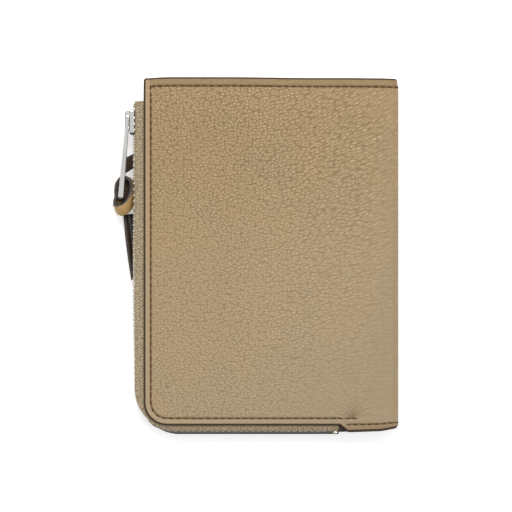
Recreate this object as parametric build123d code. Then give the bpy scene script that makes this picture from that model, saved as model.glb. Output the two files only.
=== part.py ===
from build123d import *
import os
from math import cos, pi, sin

# Folding leather wallet with an L-shaped zip compartment and a leather zip pull.
# It lies closed on its front cover. +X points to the spine, +Y to the closed top edge and
# +Z up through its thickness. The origin is the middle of the front cover's underside.
# Lengths are in millimetres.

os.makedirs("parts", exist_ok=True)

# Closed wallet, seen from above
CLOSED_WIDTH = 85.0          # free leather edge to the outside of the spine
CLOSED_HEIGHT = 117.6        # top edge to the bottom edge beside the spine
FREE_CORNER_RADIUS = 6.8     # lower corner, away from the spine
TOP_CORNER_RADIUS = 1.0
EDGE_BEVEL = 0.25            # painted leather edges

# Leather, board and fabric
COVER_LEATHER = 1.2
PANEL_LEATHER = 0.7          # card panels and slip pocket
NOTE_WALL_LEATHER = 0.8
INNER_WALL_LEATHER = 1.0
FRONT_LINING = 0.4
COMPARTMENT_LINING = 0.3
SPINE_LINING = 0.3
LINING_INSET = 1.0           # a lining stays this far inside the leather edge

# Spine
FOLD_CLEARANCE = 0.1         # leather ends stop this short of each fold line
SPINE_SLACK = 2.0            # inner layers stop this short of the spine strip
SPINE_LINING_SETBACK = 0.6

# Card half
CARD_LONG_SIDE = 85.6
CARD_SHORT_SIDE = 54.0
CARD_CLEARANCE = 1.2
CARD_STEP = 11.0             # from one pocket mouth to the next
CARD_REVEAL = 9.0            # a card stands this far out of its pocket
CARD_PANELS = 3
SEAM_ALLOWANCE = 3.0
THUMB_NOTCH_RADIUS = 9.0
THUMB_NOTCH_DEPTH = 2.6
NOTE_MOUTH_DROP = 4.0        # the note pocket's mouth is this far below the top edge

# Zip half
HALF_GAP = 0.3               # between the two halves when closed
COMPARTMENT_DEPTH = 4.8      # clear height between the linings
ZIP_EDGE_SETBACK = 2.0       # the leather along the bottom zip is cut this much shorter
SLIP_POCKET_DROP = 26.0
GUSSET_WIDTH = 3.0
GUSSET_INSET = 0.3
GUSSET_TO_TAPE = 0.3         # from the tape's end to the gusset beside it
SPINE_GUSSET = 0.8
PART_GAP = 0.1               # between layers that are laid edge to edge

# Zip
TAPE = 0.5
TAPE_SIDE_REACH = 3.1        # past the side leather edge
TAPE_BOTTOM_REACH = 2.1      # past the bottom leather edge
TAPE_MARGIN = 7.0            # flat, sewn in between leather and lining
TAPE_FOLD_RADIUS = 1.1       # outside of the turned tape
TAPE_EDGE_GAP = 0.75         # a tape edge to the middle of the teeth
ZIP_CORNER_RADIUS = 15.0
ZIP_TOP_DROP = 7.0           # tape ends this far below the top edge
ZIP_END_X = 22.9             # tape ends here along the bottom
ZIP_END_SPACE = 2.4          # from the tape end to the stitched section beside the spine
SECTION_SLOPE = 1.4
SECTION_CORNER_RADIUS = 0.5

TOOTH_PITCH = 2.0
TOOTH_DEPTH = 2.1            # across the tape, both jaws
TOOTH_FOOT = 2.1             # from the middle of the chain to the jaw ends
TOOTH_NOSE = 0.65            # how far a tooth reaches past the middle
TOOTH_NOSE_TIP = 0.35
TOOTH_NOSE_WIDTH = 0.8
TOOTH_TIP_WIDTH = 0.56
TOOTH_BODY_WIDTH = 0.96
TOOTH_GRIP_CLEARANCE = 0.02
STOP_LENGTH = 1.5
STOP_DEPTH = 1.8
STOP_SETBACK = 0.5           # from a tape's cut end

SLIDER_LENGTH = 9.0
SLIDER_STOP_GAP = 0.2
SLIDER_PLATE = 0.8
SLIDER_CLEARANCE = 0.15
SLIDER_SHOULDER_WIDTH = 7.0
SLIDER_TAIL_WIDTH = 5.9
SLIDER_MOUTH_WIDTH = 3.6
SLIDER_REAR_WIDTH = 4.8
SLIDER_SHOULDER_DROP = 1.3
SLIDER_TAPER_START = 3.4
SLIDER_TAIL_BEVEL = 0.6
WEDGE_WIDTH = 1.2
WEDGE_LENGTH = 2.1
WEDGE_SETBACK = 0.4

BAIL_WIDTH = 1.6
BAIL_STRAP = 0.6
BAIL_CLEAR_HEIGHT = 1.0
BAIL_LENGTH = 7.2
BAIL_SETBACK = 0.6
BAIL_SLOPE = 0.7

# Pull ring, a tapered oblong ring with round ends
RING_LENGTH = 27.55          # upper bar's centre to lower bar's centre
RING_TOP_RADIUS = 0.4
RING_BOTTOM_RADIUS = 0.85
RING_TOP_WIDTH = 6.2
RING_BOTTOM_WIDTH = 7.8
RING_SIDE_BAR = 1.05
RING_TOP_BAR_DEPTH = 0.25    # below the upper bar's centre
RING_BOTTOM_BAR_DEPTH = 0.55
RING_LEAN = 5.0              # degrees away from the wallet's side
RING_CORNER_RADIUS = 1.0

# Leather thong knotted on the ring
STRAP_LEATHER = 1.1
STRAP_WIDTH = 5.2
LOOP_WIDTH = 4.6
LOOP_EYE_RADIUS = 1.15
LOOP_REACH = 4.2
LOOP_TURN = 14.0             # degrees from +Y towards the spine
KNOT_BASE = 0.3              # the knot lies this far above the table
KNOT_HEIGHT = 5.3
KNOT_WRAP = 0.9
KNOT_EDGE_RADIUS = 1.2
KNOT_LENGTH = 9.4
KNOT_TURN = 47.0             # degrees from +X towards +Y
KNOT_BACK = 4.8              # its free end, behind the ring's foot
KNOT_DROP = 1.6              # its middle, below the ring's foot
TAIL_SPREAD = 1.4            # from one tail to the other
TAIL_FIT = 0.05              # a tail is this much lower than the hole in the knot, each side
TAIL_CLEARANCE = 0.3
TAIL_START = 2.5             # from the knot's free end
TAIL_LEAN = 7.0              # degrees towards the spine
LONG_TAIL = 22.0
SHORT_TAIL = 16.5
TAIL_SINK = 0.7              # a tail's end hangs this much lower
TONGUE_WIDTH = 4.3
TONGUE_LENGTH = 6.2
TONGUE_TURN = 33.0           # degrees from +X towards +Y
TONGUE_SIDE = 3.4            # its middle, from the ring's foot towards the spine
TONGUE_RISE = 11.9           # and up along the wallet's side
TONGUE_BASE = 4.3
TURN_BASE = 1.0
TURN_WIDTH = 1.6
TURN_LANDING = 0.4           # where the turned part meets the tongue, past its middle
TURN_START = 1.4             # from the knot's outer face along its end

# ---------------------------------------------------------------- levels and lines

LEFT = -CLOSED_WIDTH / 2
FOLD_X = CLOSED_WIDTH / 2 - COVER_LEATHER
INNER_RIGHT = FOLD_X - SPINE_SLACK
TOP = CLOSED_HEIGHT / 2
BOTTOM = -TOP
ZIP_EDGE_BOTTOM = BOTTOM + ZIP_EDGE_SETBACK
SECTION_X = ZIP_END_X + ZIP_END_SPACE

# card half, from the table up
Z_FRONT_LINING = COVER_LEATHER
Z_NOTE_WALL = Z_FRONT_LINING + FRONT_LINING
Z_CARD_PANELS = Z_NOTE_WALL + NOTE_WALL_LEATHER
Z_CARD_TOP = Z_CARD_PANELS + CARD_PANELS * PANEL_LEATHER

# zip half, from the gap up
Z_SLIP_POCKET = Z_CARD_TOP + HALF_GAP
Z_INNER_WALL = Z_SLIP_POCKET + PANEL_LEATHER
Z_INNER_TAPE = Z_INNER_WALL + INNER_WALL_LEATHER
Z_INNER_LINING = Z_INNER_TAPE + TAPE
Z_CHAMBER = Z_INNER_LINING + COMPARTMENT_LINING
Z_OUTER_LINING = Z_CHAMBER + COMPARTMENT_DEPTH
Z_OUTER_TAPE = Z_OUTER_LINING + COMPARTMENT_LINING
Z_BACK_COVER = Z_OUTER_TAPE + TAPE
Z_TOP = Z_BACK_COVER + COVER_LEATHER
Z_ZIP = (Z_CHAMBER + Z_OUTER_LINING) / 2

# zip line: the middle of the tape where it stands upright
ZIP_X = LEFT - TAPE_SIDE_REACH + TAPE / 2
ZIP_Y = ZIP_EDGE_BOTTOM - TAPE_BOTTOM_REACH + TAPE / 2
ZIP_CORNER = Vector(ZIP_X + ZIP_CORNER_RADIUS, ZIP_Y + ZIP_CORNER_RADIUS, 0)
ZIP_TOP = TOP - ZIP_TOP_DROP
SLIDER_TOP = ZIP_TOP - STOP_SETBACK - STOP_LENGTH - SLIDER_STOP_GAP
LINING_TOP = TOP - GUSSET_INSET - GUSSET_WIDTH - PART_GAP
LINING_BOTTOM = BOTTOM + GUSSET_INSET + GUSSET_WIDTH + PART_GAP


# ---------------------------------------------------------------- helpers

def save(name, *solids):
    """Write one node. Separate solids stay separate inside it."""
    shape = solids[0] if len(solids) == 1 else Compound(children=list(solids))
    export_step(shape, f"parts/{name}.step")


def block(x_range, y_range, z_range):
    """A box from its lower and upper limits."""
    sizes = [high - low for low, high in (x_range, y_range, z_range)]
    middle = [(low + high) / 2 for low, high in (x_range, y_range, z_range)]
    return Pos(*middle) * Box(*sizes)


def round_upright(solid, x, y, radius):
    """Round the upright edge that stands nearest to (x, y)."""
    uprights = solid.edges().filter_by(Axis.Z)
    nearest = uprights.sort_by_distance(Vector(x, y, solid.center().Z))[0]
    return fillet(nearest, radius)


def panel(base, thickness, right, bottom, top, left=LEFT, low=0.0, high=0.0):
    """A flat sheet with its free corners rounded."""
    sheet = block((left, right), (bottom, top), (base, base + thickness))
    if low:
        sheet = round_upright(sheet, left, bottom, low)
    if high:
        sheet = round_upright(sheet, left, top, high)
    return sheet


def leather_slab(outline, base, thickness):
    """A sheet of leather cut to an outline of corner points."""
    return Pos(0, 0, base) * extrude(make_face(Polyline(*outline, close=True)), amount=thickness)


def on_zip(profile, start, stop):
    """Carry a profile, drawn as (outward, up), round the L of the zip."""
    side = Plane(origin=(ZIP_X, start, Z_ZIP), x_dir=(-1, 0, 0), z_dir=(0, 1, 0))
    turn = Plane(origin=(ZIP_X, ZIP_CORNER.Y, Z_ZIP), x_dir=(-1, 0, 0), z_dir=(0, 1, 0))
    foot = Plane(origin=(ZIP_CORNER.X, ZIP_Y, Z_ZIP), x_dir=(0, -1, 0), z_dir=(-1, 0, 0))
    down = extrude(side * profile, amount=start - ZIP_CORNER.Y, dir=(0, -1, 0))
    corner = revolve(turn * profile, Axis(ZIP_CORNER, (0, 0, 1)), revolution_arc=90)
    along = extrude(foot * profile, amount=stop - ZIP_CORNER.X, dir=(1, 0, 0))
    return (down + corner + along).clean()


def zip_place(distance):
    """Where the chain is, this far along the zip from the tape's top end."""
    side_run = ZIP_TOP - ZIP_CORNER.Y
    corner_run = ZIP_CORNER_RADIUS * pi / 2
    if distance < side_run:
        return Location((ZIP_X, ZIP_TOP - distance, Z_ZIP), (0, 0, 0))
    if distance < side_run + corner_run:
        turned = (distance - side_run) / ZIP_CORNER_RADIUS
        x = ZIP_CORNER.X - ZIP_CORNER_RADIUS * cos(turned)
        y = ZIP_CORNER.Y - ZIP_CORNER_RADIUS * sin(turned)
        return Location((x, y, Z_ZIP), (0, 0, turned * 180 / pi))
    return Location((ZIP_CORNER.X + distance - side_run - corner_run, ZIP_Y, Z_ZIP), (0, 0, 90))


ZIP_RUN = ZIP_TOP - ZIP_CORNER.Y + ZIP_CORNER_RADIUS * pi / 2 + ZIP_END_X - ZIP_CORNER.X


# ---------------------------------------------------------------- card half

def front_cover():
    cover = panel(0, COVER_LEATHER, FOLD_X - FOLD_CLEARANCE, BOTTOM, TOP,
                  low=FREE_CORNER_RADIUS, high=TOP_CORNER_RADIUS)
    return chamfer(cover.faces().sort_by(Axis.Z)[0].edges(), EDGE_BEVEL)


def front_lining():
    return panel(Z_FRONT_LINING, FRONT_LINING, INNER_RIGHT, BOTTOM + LINING_INSET,
                 TOP - LINING_INSET, left=LEFT + LINING_INSET,
                 low=FREE_CORNER_RADIUS - LINING_INSET)


def note_pocket_wall():
    return panel(Z_NOTE_WALL, NOTE_WALL_LEATHER, INNER_RIGHT, BOTTOM, TOP - NOTE_MOUTH_DROP,
                 low=FREE_CORNER_RADIUS, high=TOP_CORNER_RADIUS)


def card_panel(index):
    """One of the stepped card pockets, with a thumb notch in its mouth. Cards lie along Y."""
    deepest = CARD_PANELS - 1 - index
    mouth = LEFT + SEAM_ALLOWANCE + CARD_SHORT_SIDE + deepest * CARD_STEP - CARD_REVEAL
    reach = CARD_LONG_SIDE / 2 + CARD_CLEARANCE + SEAM_ALLOWANCE
    base = Z_CARD_PANELS + index * PANEL_LEATHER
    sheet = panel(base, PANEL_LEATHER, mouth, -reach, reach)
    notch = Pos(mouth + THUMB_NOTCH_RADIUS - THUMB_NOTCH_DEPTH, 0, base) * Cylinder(
        THUMB_NOTCH_RADIUS, PANEL_LEATHER, align=(Align.CENTER, Align.CENTER, Align.MIN))
    return sheet - notch


# ---------------------------------------------------------------- spine

def spine_cover():
    strip = block((FOLD_X, FOLD_X + COVER_LEATHER), (BOTTOM, TOP),
                  (COVER_LEATHER + FOLD_CLEARANCE, Z_BACK_COVER - FOLD_CLEARANCE))
    return chamfer(strip.faces().sort_by(Axis.X)[-1].edges(), EDGE_BEVEL)


def spine_lining():
    return block((FOLD_X - SPINE_LINING, FOLD_X), (BOTTOM + LINING_INSET, TOP - LINING_INSET),
                 (COVER_LEATHER + SPINE_LINING_SETBACK, Z_BACK_COVER - SPINE_LINING_SETBACK))


# ---------------------------------------------------------------- zip half

def zip_half_outline(right):
    """The leather beside the zip is cut back; the section next to the spine keeps full height."""
    return [(LEFT, TOP), (right, TOP), (right, BOTTOM), (SECTION_X, BOTTOM),
            (SECTION_X - SECTION_SLOPE, ZIP_EDGE_BOTTOM), (LEFT, ZIP_EDGE_BOTTOM)]


def zip_half_wall(base, thickness, right):
    wall = leather_slab(zip_half_outline(right), base, thickness)
    wall = round_upright(wall, LEFT, ZIP_EDGE_BOTTOM, FREE_CORNER_RADIUS)
    wall = round_upright(wall, LEFT, TOP, TOP_CORNER_RADIUS)
    return round_upright(wall, SECTION_X, BOTTOM, SECTION_CORNER_RADIUS)


def back_cover():
    cover = zip_half_wall(Z_BACK_COVER, COVER_LEATHER, FOLD_X - FOLD_CLEARANCE)
    return chamfer(cover.faces().sort_by(Axis.Z)[-1].edges(), EDGE_BEVEL)


def inner_wall():
    return zip_half_wall(Z_INNER_WALL, INNER_WALL_LEATHER, INNER_RIGHT)


def slip_pocket():
    return panel(Z_SLIP_POCKET, PANEL_LEATHER, INNER_RIGHT, ZIP_EDGE_BOTTOM,
                 TOP - SLIP_POCKET_DROP, low=FREE_CORNER_RADIUS)


def compartment_lining(base):
    return panel(base, COMPARTMENT_LINING, INNER_RIGHT, LINING_BOTTOM, LINING_TOP,
                 left=LEFT + LINING_INSET, low=FREE_CORNER_RADIUS - LINING_INSET)


def stiffener(base):
    """Board between leather and lining, laid inside the sewn-in margin of the tape."""
    inner_radius = ZIP_CORNER_RADIUS - TAPE_MARGIN
    return panel(base, TAPE, INNER_RIGHT, ZIP_Y + TAPE_MARGIN + PART_GAP, LINING_TOP,
                 left=ZIP_X + TAPE_MARGIN + PART_GAP, low=inner_radius - PART_GAP)


def top_gusset():
    return block((LEFT + GUSSET_INSET, INNER_RIGHT),
                 (TOP - GUSSET_INSET - GUSSET_WIDTH, TOP - GUSSET_INSET),
                 (Z_INNER_TAPE, Z_BACK_COVER))


def bottom_gusset():
    """Closes the compartment between the end of the zip and the spine."""
    return block((ZIP_END_X + GUSSET_TO_TAPE, INNER_RIGHT),
                 (BOTTOM + GUSSET_INSET, BOTTOM + GUSSET_INSET + GUSSET_WIDTH),
                 (Z_INNER_TAPE, Z_BACK_COVER))


def spine_gusset():
    return block((INNER_RIGHT - SPINE_GUSSET, INNER_RIGHT), (LINING_BOTTOM, LINING_TOP),
                 (Z_CHAMBER, Z_OUTER_LINING))


# ---------------------------------------------------------------- zip

def tape_profile():
    """Outer tape as (outward, up) from the chain: flat margin, tight fold, upright edge."""
    face = TAPE / 2
    level = Z_BACK_COVER - Z_ZIP
    turn = TAPE_FOLD_RADIUS
    inside = turn - TAPE
    margin = -TAPE_MARGIN
    centre = (face - turn, level - turn)
    mid_out = (centre[0] + turn * sin(pi / 4), centre[1] + turn * sin(pi / 4))
    mid_in = (centre[0] + inside * sin(pi / 4), centre[1] + inside * sin(pi / 4))
    return make_face(
        Line((margin, level), (centre[0], level))
        + ThreePointArc((centre[0], level), mid_out, (face, centre[1]))
        + Line((face, centre[1]), (face, TAPE_EDGE_GAP))
        + Line((face, TAPE_EDGE_GAP), (-face, TAPE_EDGE_GAP))
        + Line((-face, TAPE_EDGE_GAP), (-face, centre[1]))
        + ThreePointArc((-face, centre[1]), mid_in, (centre[0], level - TAPE))
        + Line((centre[0], level - TAPE), (margin, level - TAPE))
        + Line((margin, level - TAPE), (margin, level)))


def tooth():
    """One tooth of the outer row, at the chain's origin, its nose across the middle."""
    half_tip = TOOTH_TIP_WIDTH / 2
    half_nose = TOOTH_NOSE_WIDTH / 2
    half_body = TOOTH_BODY_WIDTH / 2
    side = [(half_tip, -TOOTH_NOSE), (half_nose, -TOOTH_NOSE_TIP),
            (half_body, TAPE_EDGE_GAP), (half_body, TOOTH_FOOT)]
    outline = side + [(-across, up) for across, up in reversed(side)]
    plane = Plane(origin=(-TOOTH_DEPTH / 2, 0, 0), x_dir=(0, 1, 0), z_dir=(1, 0, 0))
    body = extrude(plane * make_face(Polyline(*outline, close=True)), amount=TOOTH_DEPTH)
    grip = TAPE / 2 + TOOTH_GRIP_CLEARANCE
    slot = block((-grip, grip), (-half_body, half_body),
                 (TAPE_EDGE_GAP - TOOTH_GRIP_CLEARANCE, TOOTH_FOOT))
    return body - slot


def teeth_row(row_tooth, first, last):
    """Teeth at one pitch along the zip."""
    count = int((last - first) / TOOTH_PITCH) + 1
    return [zip_place(first + index * TOOTH_PITCH) * row_tooth for index in range(count)]


def end_stop(reach_down, reach_up):
    """A crimped metal stop round the tape edges."""
    stop = block((-STOP_DEPTH / 2, STOP_DEPTH / 2), (-STOP_LENGTH / 2, STOP_LENGTH / 2),
                 (reach_down, reach_up))
    grip = TAPE / 2 + TOOTH_GRIP_CLEARANCE
    near = TAPE_EDGE_GAP - TOOTH_GRIP_CLEARANCE
    for sign in (-1, 1):
        limits = sorted((sign * near, sign * (TOOTH_FOOT + PART_GAP)))
        stop -= block((-grip, grip), (-STOP_LENGTH, STOP_LENGTH), limits)
    return stop


# ---------------------------------------------------------------- slider

PLATE_INNER_X = ZIP_X - TOOTH_DEPTH / 2 - SLIDER_CLEARANCE
PLATE_OUTER_X = PLATE_INNER_X - SLIDER_PLATE
REAR_INNER_X = ZIP_X + TOOTH_DEPTH / 2 + SLIDER_CLEARANCE
RING_AXIS_X = PLATE_OUTER_X - BAIL_CLEAR_HEIGHT / 2
BAIL_TOP = SLIDER_TOP - BAIL_SETBACK
RING_AXIS_Y = BAIL_TOP - BAIL_SLOPE - BAIL_STRAP - RING_TOP_RADIUS - SLIDER_CLEARANCE


def slider_plan(shoulder_width, tail_width, mouth_width):
    """Outline in (Y, Z from the chain's middle): shoulders at the mouth, narrow at the tail."""
    tail = SLIDER_TOP - SLIDER_LENGTH
    side = [(SLIDER_TOP, mouth_width / 2),
            (SLIDER_TOP - SLIDER_SHOULDER_DROP, shoulder_width / 2),
            (SLIDER_TOP - SLIDER_TAPER_START, shoulder_width / 2),
            (tail + SLIDER_TAIL_BEVEL, tail_width / 2),
            (tail, tail_width / 2 - SLIDER_TAIL_BEVEL)]
    return side + [(y, -up) for y, up in reversed(side)]


def facing_side(x, outline, depth):
    """Extrude a (Y, Z) outline from this X towards the spine."""
    plane = Plane(origin=(x, 0, Z_ZIP), x_dir=(0, 1, 0), z_dir=(1, 0, 0))
    return extrude(plane * make_face(Polyline(*outline, close=True)), amount=depth)


def slider_body():
    flange_x = ZIP_X - TAPE / 2 - SLIDER_CLEARANCE
    front = facing_side(PLATE_OUTER_X,
                        slider_plan(SLIDER_SHOULDER_WIDTH, SLIDER_TAIL_WIDTH, SLIDER_MOUTH_WIDTH),
                        flange_x - PLATE_OUTER_X)
    half_channel = TOOTH_FOOT + SLIDER_CLEARANCE
    channel = block((PLATE_INNER_X, flange_x), (SLIDER_TOP - SLIDER_LENGTH, SLIDER_TOP),
                    (Z_ZIP - half_channel, Z_ZIP + half_channel))
    front = front - channel
    outer_edges = front.faces().sort_by(Axis.X)[0].edges()
    front = fillet(outer_edges, EDGE_BEVEL)
    rear = facing_side(REAR_INNER_X,
                       slider_plan(SLIDER_REAR_WIDTH, SLIDER_REAR_WIDTH, SLIDER_MOUTH_WIDTH),
                       SLIDER_PLATE)
    wedge_top = SLIDER_TOP - WEDGE_SETBACK
    half_wedge = WEDGE_WIDTH / 2
    wedge = facing_side(PLATE_INNER_X,
                        [(wedge_top, 0), (wedge_top - half_wedge, half_wedge),
                         (wedge_top - WEDGE_LENGTH, 0), (wedge_top - half_wedge, -half_wedge)],
                        REAR_INNER_X - PLATE_INNER_X)
    return front + wedge + rear


def slider_bail():
    """A low bridge on the front plate. The ring's upper bar turns under it."""
    foot_low = BAIL_TOP - BAIL_LENGTH
    height = BAIL_CLEAR_HEIGHT + BAIL_STRAP
    outer = [(PLATE_OUTER_X, BAIL_TOP), (PLATE_OUTER_X - height, BAIL_TOP - BAIL_SLOPE),
             (PLATE_OUTER_X - height, foot_low + BAIL_SLOPE), (PLATE_OUTER_X, foot_low)]
    bridge = leather_slab(outer, Z_ZIP - BAIL_WIDTH / 2, BAIL_WIDTH)
    hole = block((PLATE_OUTER_X - BAIL_CLEAR_HEIGHT, PLATE_OUTER_X),
                 (foot_low + BAIL_SLOPE + BAIL_STRAP, BAIL_TOP - BAIL_SLOPE - BAIL_STRAP),
                 (Z_ZIP - BAIL_WIDTH / 2, Z_ZIP + BAIL_WIDTH / 2))
    return bridge - hole


# ---------------------------------------------------------------- pull ring and thong

RING = Pos(RING_AXIS_X, RING_AXIS_Y, Z_ZIP) * Rot(0, 0, -RING_LEAN)
FOOT_BAR = RING * Pos(0, -RING_LENGTH, 0)
FOOT_X = FOOT_BAR.position.X
FOOT_Y = FOOT_BAR.position.Y


def pull_ring():
    """Side profile of two tangent circles, cut to a tapered outline with an oblong eye."""
    low = -RING_LENGTH - RING_BOTTOM_RADIUS
    side = make_hull(Circle(RING_TOP_RADIUS).edges()
                     + (Pos(0, -RING_LENGTH) * Circle(RING_BOTTOM_RADIUS)).edges())
    blank = extrude(side, amount=RING_BOTTOM_WIDTH / 2, both=True)

    def outline(top, top_width, bottom, bottom_width, corner):
        points = [(top, -top_width / 2), (top, top_width / 2),
                  (bottom, bottom_width / 2), (bottom, -bottom_width / 2)]
        plane = Plane(origin=(-RING_BOTTOM_RADIUS, 0, 0), x_dir=(0, 1, 0), z_dir=(1, 0, 0))
        solid = extrude(plane * make_face(Polyline(*points, close=True)),
                        amount=2 * RING_BOTTOM_RADIUS)
        return fillet(solid.edges().filter_by(Axis.X), corner)

    outer = outline(RING_TOP_RADIUS, RING_TOP_WIDTH, low, RING_BOTTOM_WIDTH, RING_CORNER_RADIUS)
    eye = outline(-RING_TOP_BAR_DEPTH, RING_TOP_WIDTH - 2 * RING_SIDE_BAR,
                  -RING_LENGTH + RING_BOTTOM_BAR_DEPTH, RING_BOTTOM_WIDTH - 2 * RING_SIDE_BAR,
                  RING_CORNER_RADIUS / 2)
    return RING * ((blank & outer) - eye)


KNOT_ALONG = Vector(1, 0, 0).rotate(Axis.Z, KNOT_TURN)
KNOT_ACROSS = KNOT_ALONG.rotate(Axis.Z, -90)
FOOT = Vector(FOOT_X, FOOT_Y, 0)
KNOT_START = FOOT - KNOT_ALONG * KNOT_BACK + KNOT_ACROSS * KNOT_DROP
KNOT_END = KNOT_START + KNOT_ALONG * KNOT_LENGTH
KNOT_TOP = KNOT_BASE + KNOT_HEIGHT
TAIL_STACK = TAIL_SPREAD + STRAP_LEATHER
TAIL_OUT = STRAP_WIDTH / 2 + TAIL_STACK / 2 + TAIL_CLEARANCE
TAIL_PIVOT = KNOT_START + KNOT_ALONG * TAIL_START + KNOT_ACROSS * TAIL_OUT


def strap_loop():
    """The thong's eye round the ring's lower bar, standing on the knot."""
    outer_radius = LOOP_EYE_RADIUS + STRAP_LEATHER
    base = Z_ZIP - LOOP_WIDTH / 2

    def capsule(radius, low, high):
        ends = Circle(radius).edges() + (Pos(0, LOOP_REACH) * Circle(radius)).edges()
        return Pos(0, 0, low) * extrude(make_hull(ends), amount=high - low)

    eye = capsule(outer_radius, base, base + LOOP_WIDTH)
    neck = capsule(outer_radius, KNOT_TOP, base)
    below_bar = block((-outer_radius, outer_radius), (-outer_radius, -LOOP_EYE_RADIUS / 2),
                      (KNOT_TOP, base))
    loop = eye + (neck & below_bar) - capsule(LOOP_EYE_RADIUS, KNOT_TOP, base + LOOP_WIDTH)
    return Pos(FOOT_X, FOOT_Y, 0) * Rot(0, 0, -LOOP_TURN) * loop


def strap_knot():
    """The turn of thong that wraps the two tails, a flattened band with rounded ends."""
    def band(length, height, radius):
        flat = Plane(origin=(0, 0, 0), x_dir=(1, 0, 0), z_dir=(0, -1, 0))
        shape = RectangleRounded(length, height, radius)
        return extrude(flat * shape, amount=STRAP_WIDTH / 2, both=True)

    wrap = band(KNOT_LENGTH, KNOT_HEIGHT, KNOT_EDGE_RADIUS)
    hollow = band(KNOT_LENGTH - 2 * KNOT_WRAP, KNOT_HEIGHT - 2 * KNOT_WRAP,
                  KNOT_EDGE_RADIUS - KNOT_WRAP)
    middle = (KNOT_START + KNOT_END) / 2
    place = Pos(middle.X, middle.Y, KNOT_BASE + KNOT_HEIGHT / 2) * Rot(0, 0, KNOT_TURN)
    return place * (wrap - hollow)


def strap_core():
    """The two legs of the thong where they pass through the knot."""
    low = KNOT_BASE + KNOT_WRAP
    high = KNOT_TOP - KNOT_WRAP
    legs = []
    for side in (-1, 1):
        leg = Box(STRAP_LEATHER, STRAP_WIDTH, high - low)
        start = TAIL_START + side * TAIL_SPREAD / 2
        middle = KNOT_START + KNOT_ALONG * start
        legs.append(Pos(middle.X, middle.Y, (low + high) / 2) * Rot(0, 0, KNOT_TURN) * leg)
    return legs


def strap_tongue():
    """The thong's free end, coming back from under the zip with its inner face up."""
    middle = FOOT + Vector(TONGUE_SIDE, TONGUE_RISE, 0)
    ahead = Vector(1, 0, 0).rotate(Axis.Z, TONGUE_TURN)
    flat = Box(TONGUE_LENGTH, TONGUE_WIDTH, STRAP_LEATHER)
    tongue = (Pos(middle.X, middle.Y, TONGUE_BASE + STRAP_LEATHER / 2)
              * Rot(0, 0, TONGUE_TURN) * flat)
    return tongue + strap_turn(middle + ahead * TURN_LANDING)


def strap_turn(landing):
    """Stands on edge under the zip, from the knot's end to the tongue."""
    half = STRAP_LEATHER / 2
    near = KNOT_END - KNOT_ACROSS * (STRAP_WIDTH / 2 - TURN_START)
    across = KNOT_ACROSS * (TURN_WIDTH / 2)
    corners = [near + across, landing + Vector(half, 0, 0),
               landing - Vector(half, 0, 0), near - across]
    return leather_slab([(point.X, point.Y) for point in corners], TURN_BASE,
                        TONGUE_BASE - TURN_BASE)


def strap_tail(length, side):
    """A tail of the thong, hanging on edge. It turns about the pivot at the knot's mouth."""
    low = KNOT_BASE + KNOT_WRAP + TAIL_FIT
    high = KNOT_TOP - KNOT_WRAP - TAIL_FIT
    outline = [(0, low), (0, high), (-length, high - TAIL_SINK), (-length, low - TAIL_SINK)]
    plane = Plane(origin=(side * TAIL_SPREAD / 2 - STRAP_LEATHER / 2, 0, 0),
                  x_dir=(0, 1, 0), z_dir=(1, 0, 0))
    tail = extrude(plane * make_face(Polyline(*outline, close=True)), amount=STRAP_LEATHER)
    return Pos(TAIL_PIVOT.X, TAIL_PIVOT.Y, 0) * Rot(0, 0, TAIL_LEAN) * tail


# ---------------------------------------------------------------- the wallet

save("front_cover", front_cover())
save("front_lining", front_lining())
save("note_pocket_wall", note_pocket_wall())
for number in range(CARD_PANELS):
    save(f"card_panel_{number + 1}", card_panel(number))

save("spine_cover", spine_cover())
save("spine_lining", spine_lining())

save("back_cover", back_cover())
save("inner_wall", inner_wall())
save("slip_pocket", slip_pocket())
save("outer_lining", compartment_lining(Z_OUTER_LINING))
save("inner_lining", compartment_lining(Z_INNER_LINING))
save("outer_stiffener", stiffener(Z_OUTER_TAPE))
save("inner_stiffener", stiffener(Z_INNER_TAPE))
save("top_gusset", top_gusset())
save("bottom_gusset", bottom_gusset())
save("spine_gusset", spine_gusset())

outer_profile = tape_profile()
inner_profile = mirror(outer_profile, about=Plane.XZ)
save("zip_tape_outer", on_zip(outer_profile, ZIP_TOP, ZIP_END_X))
save("zip_tape_inner", on_zip(inner_profile, ZIP_TOP, ZIP_END_X))

outer_tooth = tooth()
inner_tooth = mirror(outer_tooth, about=Plane.XY)
first_tooth = ZIP_TOP - SLIDER_TOP + WEDGE_SETBACK + WEDGE_LENGTH + TOOTH_BODY_WIDTH
last_tooth = ZIP_RUN - STOP_SETBACK - STOP_LENGTH - TOOTH_BODY_WIDTH - TOOTH_PITCH / 2
save("zip_teeth_outer", *teeth_row(outer_tooth, first_tooth, last_tooth))
save("zip_teeth_inner", *teeth_row(inner_tooth, first_tooth + TOOTH_PITCH / 2,
                                   last_tooth + TOOTH_PITCH / 2))

top_stop_place = zip_place(STOP_SETBACK + STOP_LENGTH / 2)
save("zip_top_stops", top_stop_place * end_stop(TAPE_EDGE_GAP / 2, TOOTH_FOOT),
     top_stop_place * end_stop(-TOOTH_FOOT, -TAPE_EDGE_GAP / 2))
save("zip_bottom_stop", zip_place(ZIP_RUN - STOP_SETBACK - STOP_LENGTH / 2)
     * end_stop(-TOOTH_FOOT, TOOTH_FOOT))

save("slider_body", slider_body())
save("slider_bail", slider_bail())
save("pull_ring", pull_ring())
save("strap_loop", strap_loop())
save("strap_knot", strap_knot())
save("strap_core", *strap_core())
save("strap_tongue", strap_tongue())
save("strap_tail_long", strap_tail(LONG_TAIL, -1))
save("strap_tail_short", strap_tail(SHORT_TAIL, 1))

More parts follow.
